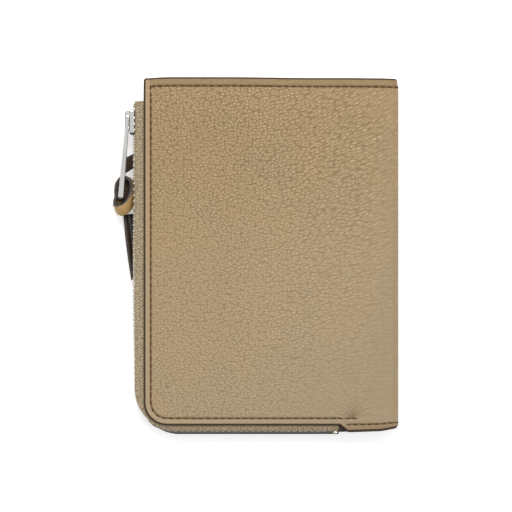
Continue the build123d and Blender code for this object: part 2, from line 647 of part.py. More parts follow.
print("fold lines at x", FOLD_X, "z", COVER_LEATHER, "and", Z_BACK_COVER)
print("ring axis at", RING_AXIS_X, RING_AXIS_Y, Z_ZIP)
print("tail pivot at", TAIL_PIVOT.X, TAIL_PIVOT.Y)
print("slider travel", SLIDER_TOP - SLIDER_LENGTH - ZIP_CORNER.Y)
print("compartment z", Z_CHAMBER, Z_OUTER_LINING, "height", Z_TOP)
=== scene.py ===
from math import cos, exp, hypot, pi, radians, sin

import bmesh
import bpy
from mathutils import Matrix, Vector


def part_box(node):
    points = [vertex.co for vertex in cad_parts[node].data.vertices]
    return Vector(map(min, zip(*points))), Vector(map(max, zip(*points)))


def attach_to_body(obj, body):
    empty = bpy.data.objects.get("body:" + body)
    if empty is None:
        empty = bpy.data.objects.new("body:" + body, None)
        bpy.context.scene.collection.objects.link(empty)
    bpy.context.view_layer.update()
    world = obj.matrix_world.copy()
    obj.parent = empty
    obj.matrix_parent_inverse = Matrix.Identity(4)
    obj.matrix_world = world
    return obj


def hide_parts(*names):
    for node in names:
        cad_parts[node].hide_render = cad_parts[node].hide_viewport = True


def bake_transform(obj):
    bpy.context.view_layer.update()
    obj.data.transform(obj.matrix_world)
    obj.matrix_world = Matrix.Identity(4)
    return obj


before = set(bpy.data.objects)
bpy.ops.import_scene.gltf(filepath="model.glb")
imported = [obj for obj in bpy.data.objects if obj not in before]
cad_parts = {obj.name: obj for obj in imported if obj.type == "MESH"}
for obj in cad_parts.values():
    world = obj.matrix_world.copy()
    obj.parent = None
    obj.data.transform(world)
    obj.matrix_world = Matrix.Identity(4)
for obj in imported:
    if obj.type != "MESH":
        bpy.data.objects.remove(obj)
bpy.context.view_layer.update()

# Small folding wallet with a zip compartment: its leather, thread, tape and metal.
# Sizes are metres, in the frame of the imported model. MM turns millimetres into metres.

bl_info = {
    "name": "Folding zip wallet",
    "version": (1, 0, 0),
    "blender": (4, 5, 0),
    "location": "View3D > Sidebar > Wallet",
    "description": "Dresses the packed wallet with leather, stitching, zip and thong",
    "category": "Object",
}

MM = 0.001


def corners(node_name):
    """Lowest and highest corner of a solid, in millimetres."""
    low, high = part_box(node_name)
    return [value / MM for value in low], [value / MM for value in high]


COVER_LOW, COVER_HIGH = corners("back_cover")
SPINE_LOW, SPINE_HIGH = corners("spine_cover")
LEFT, TOP, BOTTOM = COVER_LOW[0], COVER_HIGH[1], COVER_LOW[1]
LEATHER = COVER_HIGH[2] - COVER_LOW[2]
WALLET_TOP = COVER_HIGH[2]
SPINE_OUT = SPINE_HIGH[0]


PEBBLE_HIGHLIGHT = "#e0c596"          # painted highlight on the tops of the largest pebbles
BAND_SHADE = "#8a7149"        # painted shade on the band between a seam and its edge, where the leather slopes away
GROOVE_SHADE_AND_BURNISH = "#67471f"        # the groove that the stitches press, darkened partly by painted shade and partly by burnishing
TAPE_FOOT_SHADE = "#40352f"      # painted shade on the turned tape at the foot of the wallet


# ---------------------------------------------------------------- settings

def linear(code):
    """An sRGB hex colour as linear red, green and blue."""
    values = [int(code[i:i + 2], 16) / 255 for i in (1, 3, 5)]
    return tuple(v / 12.92 if v <= 0.04045 else ((v + 0.055) / 1.055) ** 2.4 for v in values)


def length_setting(name, description, millimetres):
    """A size with its default in millimetres."""
    return bpy.props.FloatProperty(name=name, description=description,
                                   default=millimetres * MM, min=0, unit="LENGTH")


def colour_setting(name, description, code):
    """A colour with its default as a hex code."""
    return bpy.props.FloatVectorProperty(name=name, description=description, subtype="COLOR",
                                         size=3, min=0, max=1, default=linear(code))


class WalletLeatherSettings(bpy.types.PropertyGroup):
    """Sizes and colours of the leather and its seams."""
    corner_radius: length_setting("Corner radius", "Rounding of the lower free corner", 7.8)
    spine_radius: length_setting("Spine radius", "Outside bend of the leather at each fold", 2.4)
    cut_back: length_setting("Zip cut-back", "How much shorter the leather is beside the zip", 2.0)
    section_x: length_setting("Section start", "Distance from the middle to the full-height "
                              "section beside the spine", 25.3)
    seam_end: bpy.props.FloatVectorProperty(
        name="Seam end", description="Where the zip seam ends on the flat leather, in units of "
        "100 mm", size=2, default=(0.70, -0.543))
    seam_inset: length_setting("Seam inset", "From the leather edge to the stitches", 2.35)
    stitch_pitch: length_setting("Stitch pitch", "From one stitch to the next", 2.45)
    stitch_length: length_setting("Stitch length", "Thread that shows in each stitch", 1.8)
    thread: length_setting("Thread", "Diameter of the sewing thread", 0.36)
    pebble: length_setting("Pebble", "Width of one pebble of the grain", 1.12)
    leather: colour_setting("Leather", "Pebbled cover leather", "#ae9168")
    leather_cool: colour_setting("Cooler leather", "The same leather towards the spine", "#a69272")
    # colour of the painted shade in the creases of the grain and in the fan of wrinkles
    crease_shade: colour_setting("Creases", "Between the pebbles of the grain", "#846a3f")
    edge_paint: colour_setting("Edge paint", "Painted leather edges", "#3f2f1e")
    stitching: colour_setting("Thread colour", "Sewing thread", "#4f3617")
    inside: colour_setting("Inside leather", "Smooth leather inside", "#a58c6b")
    lining: colour_setting("Lining", "Woven lining of the compartment", "#3a332c")


class WalletZipSettings(bpy.types.PropertyGroup):
    """Sizes and colours of the zip and its slider."""
    corner_radius: length_setting("Corner radius", "Turn of the zip at the free corner", 14.2)
    margin: length_setting("Sewn margin", "Flat tape under the leather", 7.0)
    tape: length_setting("Tape thickness", "Thickness of the woven tape", 0.5)
    turn: length_setting("Tape turn", "Outside radius where the tape turns down", 1.1)
    edge_gap: length_setting("Edge gap", "From a tape edge to the middle of the teeth", 0.75)
    pitch: length_setting("Tooth pitch", "From one tooth to the next in a row", 2.0)
    rib: length_setting("Weave rib", "Width of one chevron rib of the tape", 1.0)
    tape_colour: colour_setting("Tape", "Woven zip tape", "#b39f7f")
    teeth_colour: colour_setting("Teeth", "Plated teeth", "#e9dfc8")
    metal: colour_setting("Metal", "Polished slider and ring", "#d9d8d4")


class WalletThongSettings(bpy.types.PropertyGroup):
    """Sizes and colours of the leather thong on the ring."""
    grain_side: colour_setting("Grain side", "Smooth tan side of the thong", "#b8955f")
    flesh_side: colour_setting("Flesh side", "Dark inner side of the thong", "#3d2c1d")
    edge: colour_setting("Edges", "Painted edges of the thong", "#4c4541")


# ---------------------------------------------------------------- materials

NOISE, MIX, RANGE = "ShaderNodeTexNoise", "ShaderNodeMix", "ShaderNodeMapRange"
MATH, VECTORS, COORDINATES = "ShaderNodeMath", "ShaderNodeVectorMath", "ShaderNodeTexCoord"
CELLS, ATTRIBUTE, BUMP = "ShaderNodeTexVoronoi", "ShaderNodeAttribute", "ShaderNodeBump"
COLOURS, SOFT = {"data_type": "RGBA"}, {"interpolation_type": "SMOOTHSTEP"}


def add(tree, kind, inputs=(), **settings):
    """Add a node, set its properties, and fill or link its inputs, given by name or in their
    order. A node that is given as an input stands for its first output in use. A RANGE takes
    a value, the low and high end that it comes from, and the two ends that it goes to."""
    made = tree.nodes.new(kind)
    for name, value in settings.items():
        setattr(made, name, value)
    for key, value in inputs.items() if isinstance(inputs, dict) else enumerate(inputs):
        named = [socket for socket in made.inputs if socket.name == key and socket.enabled]
        socket = named[0] if named else made.inputs[key]
        if isinstance(value, bpy.types.Node):
            value = [output for output in value.outputs if output.enabled][0]
        if isinstance(value, bpy.types.NodeSocket):
            tree.links.new(value, socket)
        else:
            socket.default_value = value
    return made


def opaque(colour, share=1.0):
    """A colour, linear or as a hex code, as a socket takes it, made darker or lighter."""
    values = linear(colour) if isinstance(colour, str) else colour
    return (*[value * share for value in values], 1.0)


def finish(name, build, settings=None):
    """A material. Its builder fills the node tree and gives the shader's inputs by name."""
    material = bpy.data.materials.new(name)
    material.use_nodes = True
    tree = material.node_tree
    tree.nodes.clear()
    shader = add(tree, "ShaderNodeBsdfPrincipled", build(tree, settings))
    add(tree, "ShaderNodeOutputMaterial", {"Surface": shader})
    return material


def drawn_out(tree, flat, apart, cells):
    """Where the grain lies on the flat leather: its pebbles are nearly round at the free edge,
    and drawn out and aslant towards the spine."""
    warp = add(tree, NOISE, {"Vector": flat, "Scale": cells * 0.7, "Detail": 2.0})
    drift = add(tree, VECTORS, (warp.outputs["Color"], (0.5, 0.5, 0.5)), operation="SUBTRACT")
    drift = add(tree, VECTORS, (drift, (0.01, 0.008, 0.0)), operation="MULTIPLY")
    place = add(tree, VECTORS, (flat, drift), operation="ADD")
    beyond = add(tree, MATH, (apart.outputs[0], 0.28), operation="SUBTRACT")
    beyond = add(tree, MATH, (beyond, 0.0), operation="MAXIMUM")
    longer = add(tree, MATH, (beyond, beyond), operation="MULTIPLY")
    longer = add(tree, MATH, (longer, -0.52), operation="MULTIPLY")
    steep = add(tree, RANGE, (apart.outputs[1], -0.55, 0.55, -0.05, -0.31))
    slant = add(tree, MATH, (apart.outputs[0], apart.outputs[0]), operation="MULTIPLY")
    slant = add(tree, MATH, (slant, steep), operation="MULTIPLY")
    pulled = add(tree, "ShaderNodeCombineXYZ", (longer, slant))
    return add(tree, VECTORS, (place, (1.0, 1.2, 0.0), pulled), operation="MULTIPLY_ADD")


def pebble_height(tree, place, apart, cells):
    """How high the grain stands: domed pebbles of two sizes, with creases between them."""
    edges, rounds = [
        add(tree, CELLS, {"Vector": place, "Scale": cells, "Randomness": 0.95},
            voronoi_dimensions="2D", feature=feature).outputs["Distance"]
        for feature in ("DISTANCE_TO_EDGE", "F1")]
    small = add(tree, CELLS, {"Vector": place, "Scale": cells * 2.1, "Smoothness": 0.6,
                              "Randomness": 0.9},
                voronoi_dimensions="2D", feature="SMOOTH_F1").outputs["Distance"]
    valley = add(tree, RANGE, (edges, 0.16, 0.0), **SOFT)
    # the creases come and go
    folds = add(tree, NOISE, {"Vector": place, "Scale": cells * 0.8, "Detail": 2.0})
    kept = add(tree, RANGE, (folds, 0.35, 0.65, 0.45, 1.0))
    valley = add(tree, MATH, (valley, kept), operation="MULTIPLY")
    # long wrinkles run out from the spine, where the leather is bent often
    along = add(tree, VECTORS, (place, (0.4, 1.0, 1.0)), operation="MULTIPLY")
    wrinkles = add(tree, NOISE, {"Vector": along, "Scale": cells * 0.8, "Detail": 2.0,
                                 "Distortion": 0.4})
    wrinkles = add(tree, MATH, (wrinkles, 0.5), operation="SUBTRACT")
    wrinkles = add(tree, MATH, (wrinkles,), operation="ABSOLUTE")
    wrinkles = add(tree, RANGE, (wrinkles, 0.05, 0.0), **SOFT)
    bent = add(tree, RANGE, (apart.outputs[0], 0.45, 0.8, 0.0, 0.5))
    wrinkles = add(tree, MATH, (wrinkles, bent), operation="MULTIPLY")
    valley = add(tree, MATH, (valley, wrinkles), operation="MAXIMUM")
    fall = add(tree, MATH, (rounds, rounds), operation="MULTIPLY")
    height = 1.0
    for part, share in ((fall, -1.1), (small, -0.6), (valley, -0.38)):
        height = add(tree, MATH, (part, share, height), operation="MULTIPLY_ADD")
    return height


def seam_fan(tree, flat, drawn, seam_end):
    """Where the zip seam ends, its last stitch gathers the leather into a fan of fine wrinkles."""
    from_end = add(tree, VECTORS, (flat, (*seam_end, 0)), operation="SUBTRACT")
    away = add(tree, VECTORS, (from_end,), operation="LENGTH").outputs["Value"]
    offset = add(tree, "ShaderNodeSeparateXYZ", (from_end,))
    bearing = add(tree, MATH, (offset.outputs[0], offset.outputs[1]), operation="ARCTAN2")
    wander = add(tree, NOISE, {"Vector": flat, "Scale": 40.0})
    bearing = add(tree, MATH, (wander, 0.7, bearing), operation="MULTIPLY_ADD")
    wrinkle = add(tree, MATH, (bearing, 21.0), operation="MULTIPLY")
    wrinkle = add(tree, MATH, (wrinkle,), operation="SINE")
    reach = add(tree, RANGE, (away, 0.1, 0.0), **SOFT)
    facing = add(tree, RANGE, (offset.outputs[1], -0.002, 0.008))
    for share in (reach, facing, drawn):
        wrinkle = add(tree, MATH, (wrinkle, share), operation="MULTIPLY")
    return wrinkle


def pebbled_leather(tree, settings):
    """Drum-tumbled calf with a pebbled grain: small soft pebbles with fine creases between them,
    smoothed by wear along seams and towards the spine, and thick dark paint on cut edges. Its
    colour holds painted shade in the creases, along the seams and towards the spine, and painted
    highlights on the pebbles' crowns."""
    flat = add(tree, "ShaderNodeUVMap", uv_map="flat")
    apart = add(tree, "ShaderNodeSeparateXYZ", (flat,))
    inset, band, groove, drawn = [add(tree, ATTRIBUTE, attribute_name=name).outputs["Fac"]
                                  for name in ("inset", "band", "groove", "gather")]
    # one unit of the map is 100 mm of leather, and cells is pebbles per unit
    cells = 100 * MM / settings.pebble
    pebble = pebble_height(tree, drawn_out(tree, flat, apart, cells), apart, cells)
    wrinkle = seam_fan(tree, flat, drawn, settings.seam_end)
    fine = add(tree, NOISE, {"Vector": flat, "Scale": cells * 5.0, "Detail": 3.0})
    cloud = add(tree, NOISE, {"Vector": flat, "Scale": 5.0, "Detail": 3.0})
    # the grain fades towards the spine and the lower end, in patches and along seams
    across = add(tree, RANGE, (apart.outputs[0], 0.74, 0.85, 1.0, 0.4))
    away_from_top = add(tree, MATH, (apart.outputs[1], -0.9, apart.outputs[0]),
                        operation="MULTIPLY_ADD")
    lower_end = add(tree, RANGE, (away_from_top, 0.7, 1.05, 1.0, 0.45))
    faded = add(tree, MATH, (across, lower_end), operation="MULTIPLY")
    upward = add(tree, RANGE, (apart.outputs[1], -0.1, 0.4, 0.87, 1.35), **SOFT)
    patches = add(tree, RANGE, (cloud, 0.3, 0.7, 0.85, 1.0))
    seam = add(tree, RANGE, (inset, 1.8, 3.4, 0.25, 1.0))
    depth = faded
    for share in (upward, patches, seam):
        depth = add(tree, MATH, (depth, share), operation="MULTIPLY")
    # painted shade darkens the creases and lifts the domes, and painted highlights light the
    # crowns of the largest pebbles
    crease_shade = add(tree, RANGE, (pebble, 0.7, -0.1, 0.0, 0.16), clamp=False)
    crease_shade = add(tree, MATH, (crease_shade, depth), operation="MULTIPLY")
    crown_highlight = add(tree, RANGE, (pebble, 0.58, 0.9, 0.0, 0.36), **SOFT)
    crown_highlight = add(tree, MATH, (crown_highlight, depth), operation="MULTIPLY")
    # warmer towards the upper free corner, greyer towards the lower end of the spine
    cool = add(tree, MATH, (apart.outputs[0], 0.3, cloud), operation="MULTIPLY_ADD")
    cool = add(tree, MATH, (apart.outputs[1], -0.9, cool), operation="MULTIPLY_ADD")
    cool = add(tree, RANGE, (cool, 0.1, 1.25))
    colour = opaque(settings.leather)
    for share, coat, within in ((cool, settings.leather_cool, True),
                                (crease_shade, settings.crease_shade, False), (crown_highlight, PEBBLE_HIGHLIGHT, True)):
        colour = add(tree, MIX, {"Factor": share, "A": colour, "B": opaque(coat)},
                     clamp_factor=within, **COLOURS)
    # fine specks, and painted shade that darkens it towards the spine and the lower end, where the
    # grain has faded
    speck = add(tree, RANGE, (fine, 0.3, 0.7, 0.935, 1.055))
    spine_shade = add(tree, RANGE, (faded, 0.3, 1.0, 0.88, 1.0))
    for share in (speck, spine_shade):
        colour = add(tree, VECTORS, {0: colour, "Scale": share}, operation="SCALE")
    # painted shade on the bands above the top seam and along the section's foot
    band_shade = add(tree, MATH, (band, 0.7), operation="MULTIPLY")
    # the seam grooves are darker, partly by painted shade and partly burnished
    pressed = add(tree, RANGE, (groove, 0.55, 0.12, 0.0, 0.72), **SOFT)
    painted = add(tree, RANGE, (inset, 0.7, 0.54), **SOFT)
    # painted shade in the troughs of the fan of wrinkles
    wrinkle_shade = add(tree, RANGE, (wrinkle, -0.1, -1.0, 0.0, 0.32))
    for share, coat in ((band_shade, BAND_SHADE), (pressed, GROOVE_SHADE_AND_BURNISH), (painted, settings.edge_paint),
                        (wrinkle_shade, settings.crease_shade)):
        colour = add(tree, MIX, {"Factor": share, "A": colour, "B": opaque(coat)}, **COLOURS)
    shine = add(tree, RANGE, (pebble, 0.0, 1.0, 0.6, 0.38))
    shine = add(tree, MIX, {"Factor": painted, "A": shine, "B": 0.8})
    relief = add(tree, MATH, (pebble, depth), operation="MULTIPLY")
    for part, share in ((wrinkle, 0.33), (fine, 0.4)):
        relief = add(tree, MATH, (part, share, relief), operation="MULTIPLY_ADD")
    bare = add(tree, MATH, (1.0, painted), operation="SUBTRACT")
    relief = add(tree, MATH, (relief, bare), operation="MULTIPLY")
    normal = add(tree, BUMP, {"Height": relief, "Distance": 0.26 * MM})
    return {"Base Color": colour, "Roughness": shine, "IOR": 1.5, "Normal": normal}


def smooth_leather(tree, settings):
    """Smooth full-grain leather, plated and waxed: even tan, hair-fine pores, a low sheen, and
    dark paint on its cut edges."""
    place = add(tree, COORDINATES).outputs["Object"]
    pores = add(tree, NOISE, {"Vector": place, "Scale": 2600.0, "Detail": 3.0})
    cloud = add(tree, NOISE, {"Vector": place, "Scale": 60.0, "Detail": 3.0})
    colour = add(tree, MIX, {"Factor": cloud, "A": opaque(settings.inside, 0.85),
                             "B": opaque(settings.inside, 1.12)}, **COLOURS)
    edge = add(tree, ATTRIBUTE, attribute_name="edge").outputs["Fac"]
    painted = add(tree, RANGE, (edge, 0.1, 0.5))
    colour = add(tree, MIX, {"Factor": painted, "A": colour, "B": opaque(settings.edge_paint)},
                 **COLOURS)
    shine = add(tree, RANGE, (pores, 0.0, 1.0, 0.45, 0.65))
    normal = add(tree, BUMP, {"Height": pores, "Distance": 0.03 * MM})
    return {"Base Color": colour, "Roughness": shine, "IOR": 1.5, "Normal": normal}


def twill_lining(tree, settings):
    """Cotton twill, woven: fine diagonal ribs, matt. The ribs are 0.7 mm apart, coarser than the
    real 0.4 mm, so that they show."""
    place = add(tree, COORDINATES).outputs["Object"]
    ribs = add(tree, "ShaderNodeTexWave", {"Vector": place, "Scale": pi / (10 * 0.7 * MM),
                                           "Distortion": 0.6, "Detail": 2.0,
                                           "Detail Scale": 2.0}, bands_direction="DIAGONAL")
    shade = add(tree, MIX, {"Factor": ribs.outputs["Fac"], "A": opaque(settings.lining, 0.6),
                            "B": opaque(settings.lining)}, **COLOURS)
    normal = add(tree, BUMP, {"Height": ribs.outputs["Fac"], "Distance": 0.08 * MM})
    return {"Base Color": shade, "Roughness": 0.9, "Normal": normal}


def fibre_board(tree, settings):
    """Pressed fibre board: grey-brown and felted."""
    place = add(tree, COORDINATES).outputs["Object"]
    felt = add(tree, NOISE, {"Vector": place, "Scale": 900.0, "Detail": 4.0})
    shade = add(tree, MIX, {"Factor": felt, "A": opaque(settings.lining, 0.8),
                            "B": opaque(settings.inside, 0.8)}, **COLOURS)
    normal = add(tree, BUMP, {"Height": felt, "Distance": 0.05 * MM})
    return {"Base Color": shade, "Roughness": 0.9, "Normal": normal}


def woven_tape(tree, settings):
    """Polyester zip tape, woven in a herringbone: raised chevron ribs with dark gaps."""
    flat = add(tree, "ShaderNodeUVMap", uv_map="flat")
    apart = add(tree, "ShaderNodeSeparateXYZ", (flat,))
    rib = settings.rib / (100 * MM)
    # a chevron column is two thirds of a rib wide, and its ribs lean at 45 degrees
    column = add(tree, MATH, (apart.outputs[1], rib * 0.65), operation="PINGPONG")
    slant = add(tree, MATH, (apart.outputs[0], column), operation="ADD")
    turns = add(tree, MATH, (slant, 2 * pi / rib), operation="MULTIPLY")
    pull = add(tree, NOISE, {"Vector": flat, "Scale": 30.0, "Detail": 2.0})
    turns = add(tree, MATH, (pull, 9.0, turns), operation="MULTIPLY_ADD")
    wave = add(tree, MATH, (turns,), operation="SINE")
    height = add(tree, RANGE, (wave, -1.0))
    fuzz = add(tree, NOISE, {"Vector": flat, "Scale": 120.0, "Detail": 3.0})
    fuzz = add(tree, RANGE, (fuzz, 0.3, 0.7))
    shown = add(tree, MATH, (fuzz, 1.3, height), operation="MULTIPLY_ADD")
    shown = add(tree, RANGE, (shown, 0.2, 1.95))
    colour = add(tree, MIX, {"Factor": shown, "A": opaque(settings.tape_colour, 0.4),
                             "B": opaque(settings.tape_colour, 1.17)}, **COLOURS)
    # painted shade darkens the turned edge at the foot of the wallet
    foot_shade = add(tree, ATTRIBUTE, attribute_name="foot_shade").outputs["Fac"]
    colour = add(tree, MIX, {"Factor": foot_shade, "A": colour, "B": opaque(TAPE_FOOT_SHADE)}, **COLOURS)
    normal = add(tree, BUMP, {"Height": height, "Distance": 0.1 * MM})
    return {"Base Color": colour, "Roughness": 0.8, "Sheen Weight": 0.15, "Normal": normal}


def plated_metal(tree, colour):
    """Die-cast zinc, plated and polished: bright, with faint handling marks in the gloss."""
    place = add(tree, COORDINATES).outputs["Object"]
    marks = add(tree, NOISE, {"Vector": place, "Scale": 700.0, "Detail": 4.0})
    cloud = add(tree, NOISE, {"Vector": place, "Scale": 200.0})
    shade = add(tree, MIX, {"Factor": cloud, "A": opaque(colour), "B": opaque(colour, 0.85)},
                **COLOURS)
    shine = add(tree, RANGE, (marks, 0.0, 1.0, 0.05, 0.18))
    normal = add(tree, BUMP, {"Height": marks, "Distance": 0.01 * MM})
    return {"Base Color": shade, "Metallic": 1.0, "Roughness": shine, "Normal": normal}


def waxed_thread(tree, settings):
    """Three-ply waxed polyester thread: dark brown, slightly glossy."""
    place = add(tree, COORDINATES).outputs["Object"]
    fibres = add(tree, NOISE, {"Vector": place, "Scale": 4000.0, "Detail": 2.0})
    shade = add(tree, MIX, {"Factor": fibres, "A": opaque(settings.stitching, 0.7),
                            "B": opaque(settings.stitching, 1.4)}, **COLOURS)
    normal = add(tree, BUMP, {"Height": fibres, "Distance": 0.04 * MM})
    return {"Base Color": shade, "Roughness": 0.7, "Normal": normal}


def thong_leather(tree, settings):
    """Vegetable-tanned thong: tan grain side, dark flesh side, thick dark paint on its edges."""
    flat = add(tree, "ShaderNodeUVMap", uv_map="flat")
    edge, flesh = [add(tree, ATTRIBUTE, attribute_name=name).outputs["Fac"]
                   for name in ("edge", "flesh")]
    fibres = add(tree, NOISE, {"Vector": flat, "Scale": 90.0, "Detail": 5.0})
    tan, rough = [add(tree, MIX, {"Factor": fibres, "A": opaque(side, dark),
                                  "B": opaque(side, light)}, **COLOURS)
                  for side, dark, light in ((settings.grain_side, 0.8, 1.15),
                                            (settings.flesh_side, 0.6, 1.3))]
    painted = add(tree, RANGE, (edge, 0.05, 0.3), **SOFT)
    colour = tan
    for share, coat in ((flesh, rough), (painted, opaque(settings.edge))):
        colour = add(tree, MIX, {"Factor": share, "A": colour, "B": coat}, **COLOURS)
    shine = add(tree, RANGE, (flesh, 0.0, 1.0, 0.5, 0.8))
    normal = add(tree, BUMP, {"Height": fibres, "Distance": 0.05 * MM})
    return {"Base Color": colour, "Roughness": shine, "Normal": normal}


def studio_sweep(tree, settings):
    """Matt white paper sweep. What the camera and the metal see of it is a touch brighter."""
    place = add(tree, COORDINATES).outputs["Object"]
    tooth = add(tree, NOISE, {"Vector": place, "Scale": 300.0})
    shade = add(tree, MIX, {"Factor": tooth, "A": (0.93, 0.93, 0.935, 1.0),
                            "B": (0.95, 0.95, 0.955, 1.0)}, **COLOURS)
    path = add(tree, "ShaderNodeLightPath")
    seen = path.outputs["Is Camera Ray"]
    for ray in ("Is Glossy Ray", "Is Transmission Ray"):
        seen = add(tree, MATH, (seen, path.outputs[ray]), operation="MAXIMUM")
    lift = add(tree, MATH, (seen, 0.47), operation="MULTIPLY")
    return {"Base Color": shade, "Roughness": 1.0, "Specular IOR Level": 0.0,
            "Emission Color": (1.0, 1.0, 1.0, 1.0), "Emission Strength": lift}


# ---------------------------------------------------------------- mesh helpers

WELD = 0.004 * MM          # points of a solid's mesh that are closer than this are one point
FLAT_ANGLE = radians(1.5)  # faces that meet at less than this are one face
SOFT_ANGLE = radians(30)   # edges sharper than this are softened,
SHARP_ANGLE = radians(35)  # and those still sharper than this break the shading


def spread(start, stop, step):
    """Even steps from start up to stop, which isn't included."""
    count = max(1, round((stop - start) / step))
    return [start + (stop - start) * i / count for i in range(count)]


def ease(value, low, high):
    """0 below low, 1 above high, and smooth in between."""
    share = min(max((value - low) / (high - low), 0.0), 1.0)
    return share * share * (3 - 2 * share)


def new_piece(name, mesh, material):
    """Links a piece to the scene, with one material."""
    obj = bpy.data.objects.new(name, mesh)
    bpy.context.scene.collection.objects.link(obj)
    obj.data.materials.clear()
    obj.data.materials.append(material)
    return obj


def mesh_piece(name, points, faces, material, uvs=None, values=None, smooth=True):
    """A piece from points in millimetres, with its own flat map and point attributes."""
    mesh = bpy.data.meshes.new(name)
    mesh.from_pydata([[v * MM for v in point] for point in points], [], faces)
    if uvs:
        layer = mesh.uv_layers.new(name="flat")
        for loop in mesh.loops:
            u, v = uvs[loop.vertex_index]
            layer.data[loop.index].uv = (u / 100, v / 100)
    for key, numbers in (values or {}).items():
        mesh.attributes.new(key, "FLOAT", "POINT").data.foreach_set("value", numbers)
    if smooth:
        mesh.shade_smooth()
    else:
        mesh.shade_flat()
    mesh.validate()
    return new_piece(name, mesh, material)


def loft_faces(rows, size):
    """Faces that join rows of rings, each with size points, and close both ends."""
    faces = [(row + k, row + (k + 1) % size, row + size + (k + 1) % size, row + size + k)
             for row in range(0, (rows - 1) * size, size) for k in range(size)]
    last = range((rows - 1) * size, rows * size)
    return [*faces, tuple(range(size)), tuple(reversed(last))]


def outward(obj):
    """Turns every face of a closed piece outwards."""
    work = bmesh.new()
    work.from_mesh(obj.data)
    bmesh.ops.recalc_face_normals(work, faces=work.faces)
    work.to_mesh(obj.data)
    work.free()
    return obj


def merged_copy(node_name, name, material, bevel=0.0):
    """A copy of a solid's mesh, merged into one skin, with its sharp edges softened. The bevel
    is in millimetres."""
    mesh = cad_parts[node_name].data.copy()
    mesh.name = name
    work = bmesh.new()
    work.from_mesh(mesh)
    bmesh.ops.remove_doubles(work, verts=work.verts, dist=WELD)
    bmesh.ops.dissolve_limit(work, angle_limit=FLAT_ANGLE, verts=work.verts, edges=work.edges)
    work.to_mesh(mesh)
    work.free()
    obj = new_piece(name, mesh, material)
    if bevel:
        soft = obj.modifiers.new("Soft edges", "BEVEL")
        soft.width = bevel * MM
        soft.segments = 3
        soft.limit_method = "ANGLE"
        soft.angle_limit = SOFT_ANGLE
    applied(obj)
    obj.data.shade_smooth()
    obj.data.set_sharp_from_angle(angle=SHARP_ANGLE)
    level = obj.modifiers.new("Level faces", "WEIGHTED_NORMAL")
    level.keep_sharp = True
    return applied(obj)


def mark_edges(obj):
    """Marks the cut edges of a flat panel, which get painted."""
    edge = obj.data.attributes.new("edge", "FLOAT", "FACE")
    edge.data.foreach_set("value", [1 - abs(face.normal.z) for face in obj.data.polygons])


def applied(obj):
    """Turns a piece's modifiers into its plain mesh."""
    graph = bpy.context.evaluated_depsgraph_get()
    mesh = bpy.data.meshes.new_from_object(obj.evaluated_get(graph))
    obj.modifiers.clear()
    old = obj.data
    obj.data = mesh
    if old.users == 0 and isinstance(old, bpy.types.Mesh):
        bpy.data.meshes.remove(old)
    return obj


def attach(obj, body, slot, *nodes):
    """Rides a piece on a body and hides the solids that it stands for. slot is not used."""
    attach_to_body(obj, body)
    if nodes:
        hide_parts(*nodes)
    return obj


# ---------------------------------------------------------------- repeats along a path

def repeat_tree():
    """Sets one small piece at even steps along a curve, turned to follow it."""
    tree = bpy.data.node_groups.new("Repeat along a seam", "GeometryNodeTree")
    for name, kind in (("Geometry", "Geometry"), ("Piece", "Object"), ("Count", "Int"),
                       ("Roll", "Vector"), ("Variation", "Float"), ("Material", "Material")):
        tree.interface.new_socket(name, in_out="INPUT", socket_type="NodeSocket" + kind)
    tree.interface.new_socket("Geometry", in_out="OUTPUT", socket_type="NodeSocketGeometry")
    given = add(tree, "NodeGroupInput").outputs
    steps = add(tree, "GeometryNodeResampleCurve", {"Curve": given["Geometry"],
                                                    "Count": given["Count"]})
    start = add(tree, "FunctionNodeEulerToRotation", (given["Roll"],))
    turned = add(tree, "FunctionNodeAlignRotationToVector",
                 {"Rotation": start, "Vector": add(tree, "GeometryNodeInputTangent")}, axis="X")
    sway = add(tree, "FunctionNodeRandomValue", {"Min": (-1, -1, -1), "Max": (1, 1, 1), "Seed": 7},
               data_type="FLOAT_VECTOR")
    sway = add(tree, VECTORS, {0: sway, "Scale": given["Variation"]}, operation="SCALE")
    sway = add(tree, "FunctionNodeEulerToRotation", (sway,))
    turned = add(tree, "FunctionNodeRotateRotation", (turned, sway), rotation_space="LOCAL")
    piece = add(tree, "GeometryNodeObjectInfo", {"Object": given["Piece"]}).outputs["Geometry"]
    placed = add(tree, "GeometryNodeInstanceOnPoints",
                 {"Points": steps, "Instance": piece, "Rotation": turned})
    real = add(tree, "GeometryNodeRealizeInstances", (placed,))
    coated = add(tree, "GeometryNodeSetMaterial",
                 {"Geometry": real, "Material": given["Material"]})
    add(tree, "NodeGroupOutput", {"Geometry": coated})
    return tree


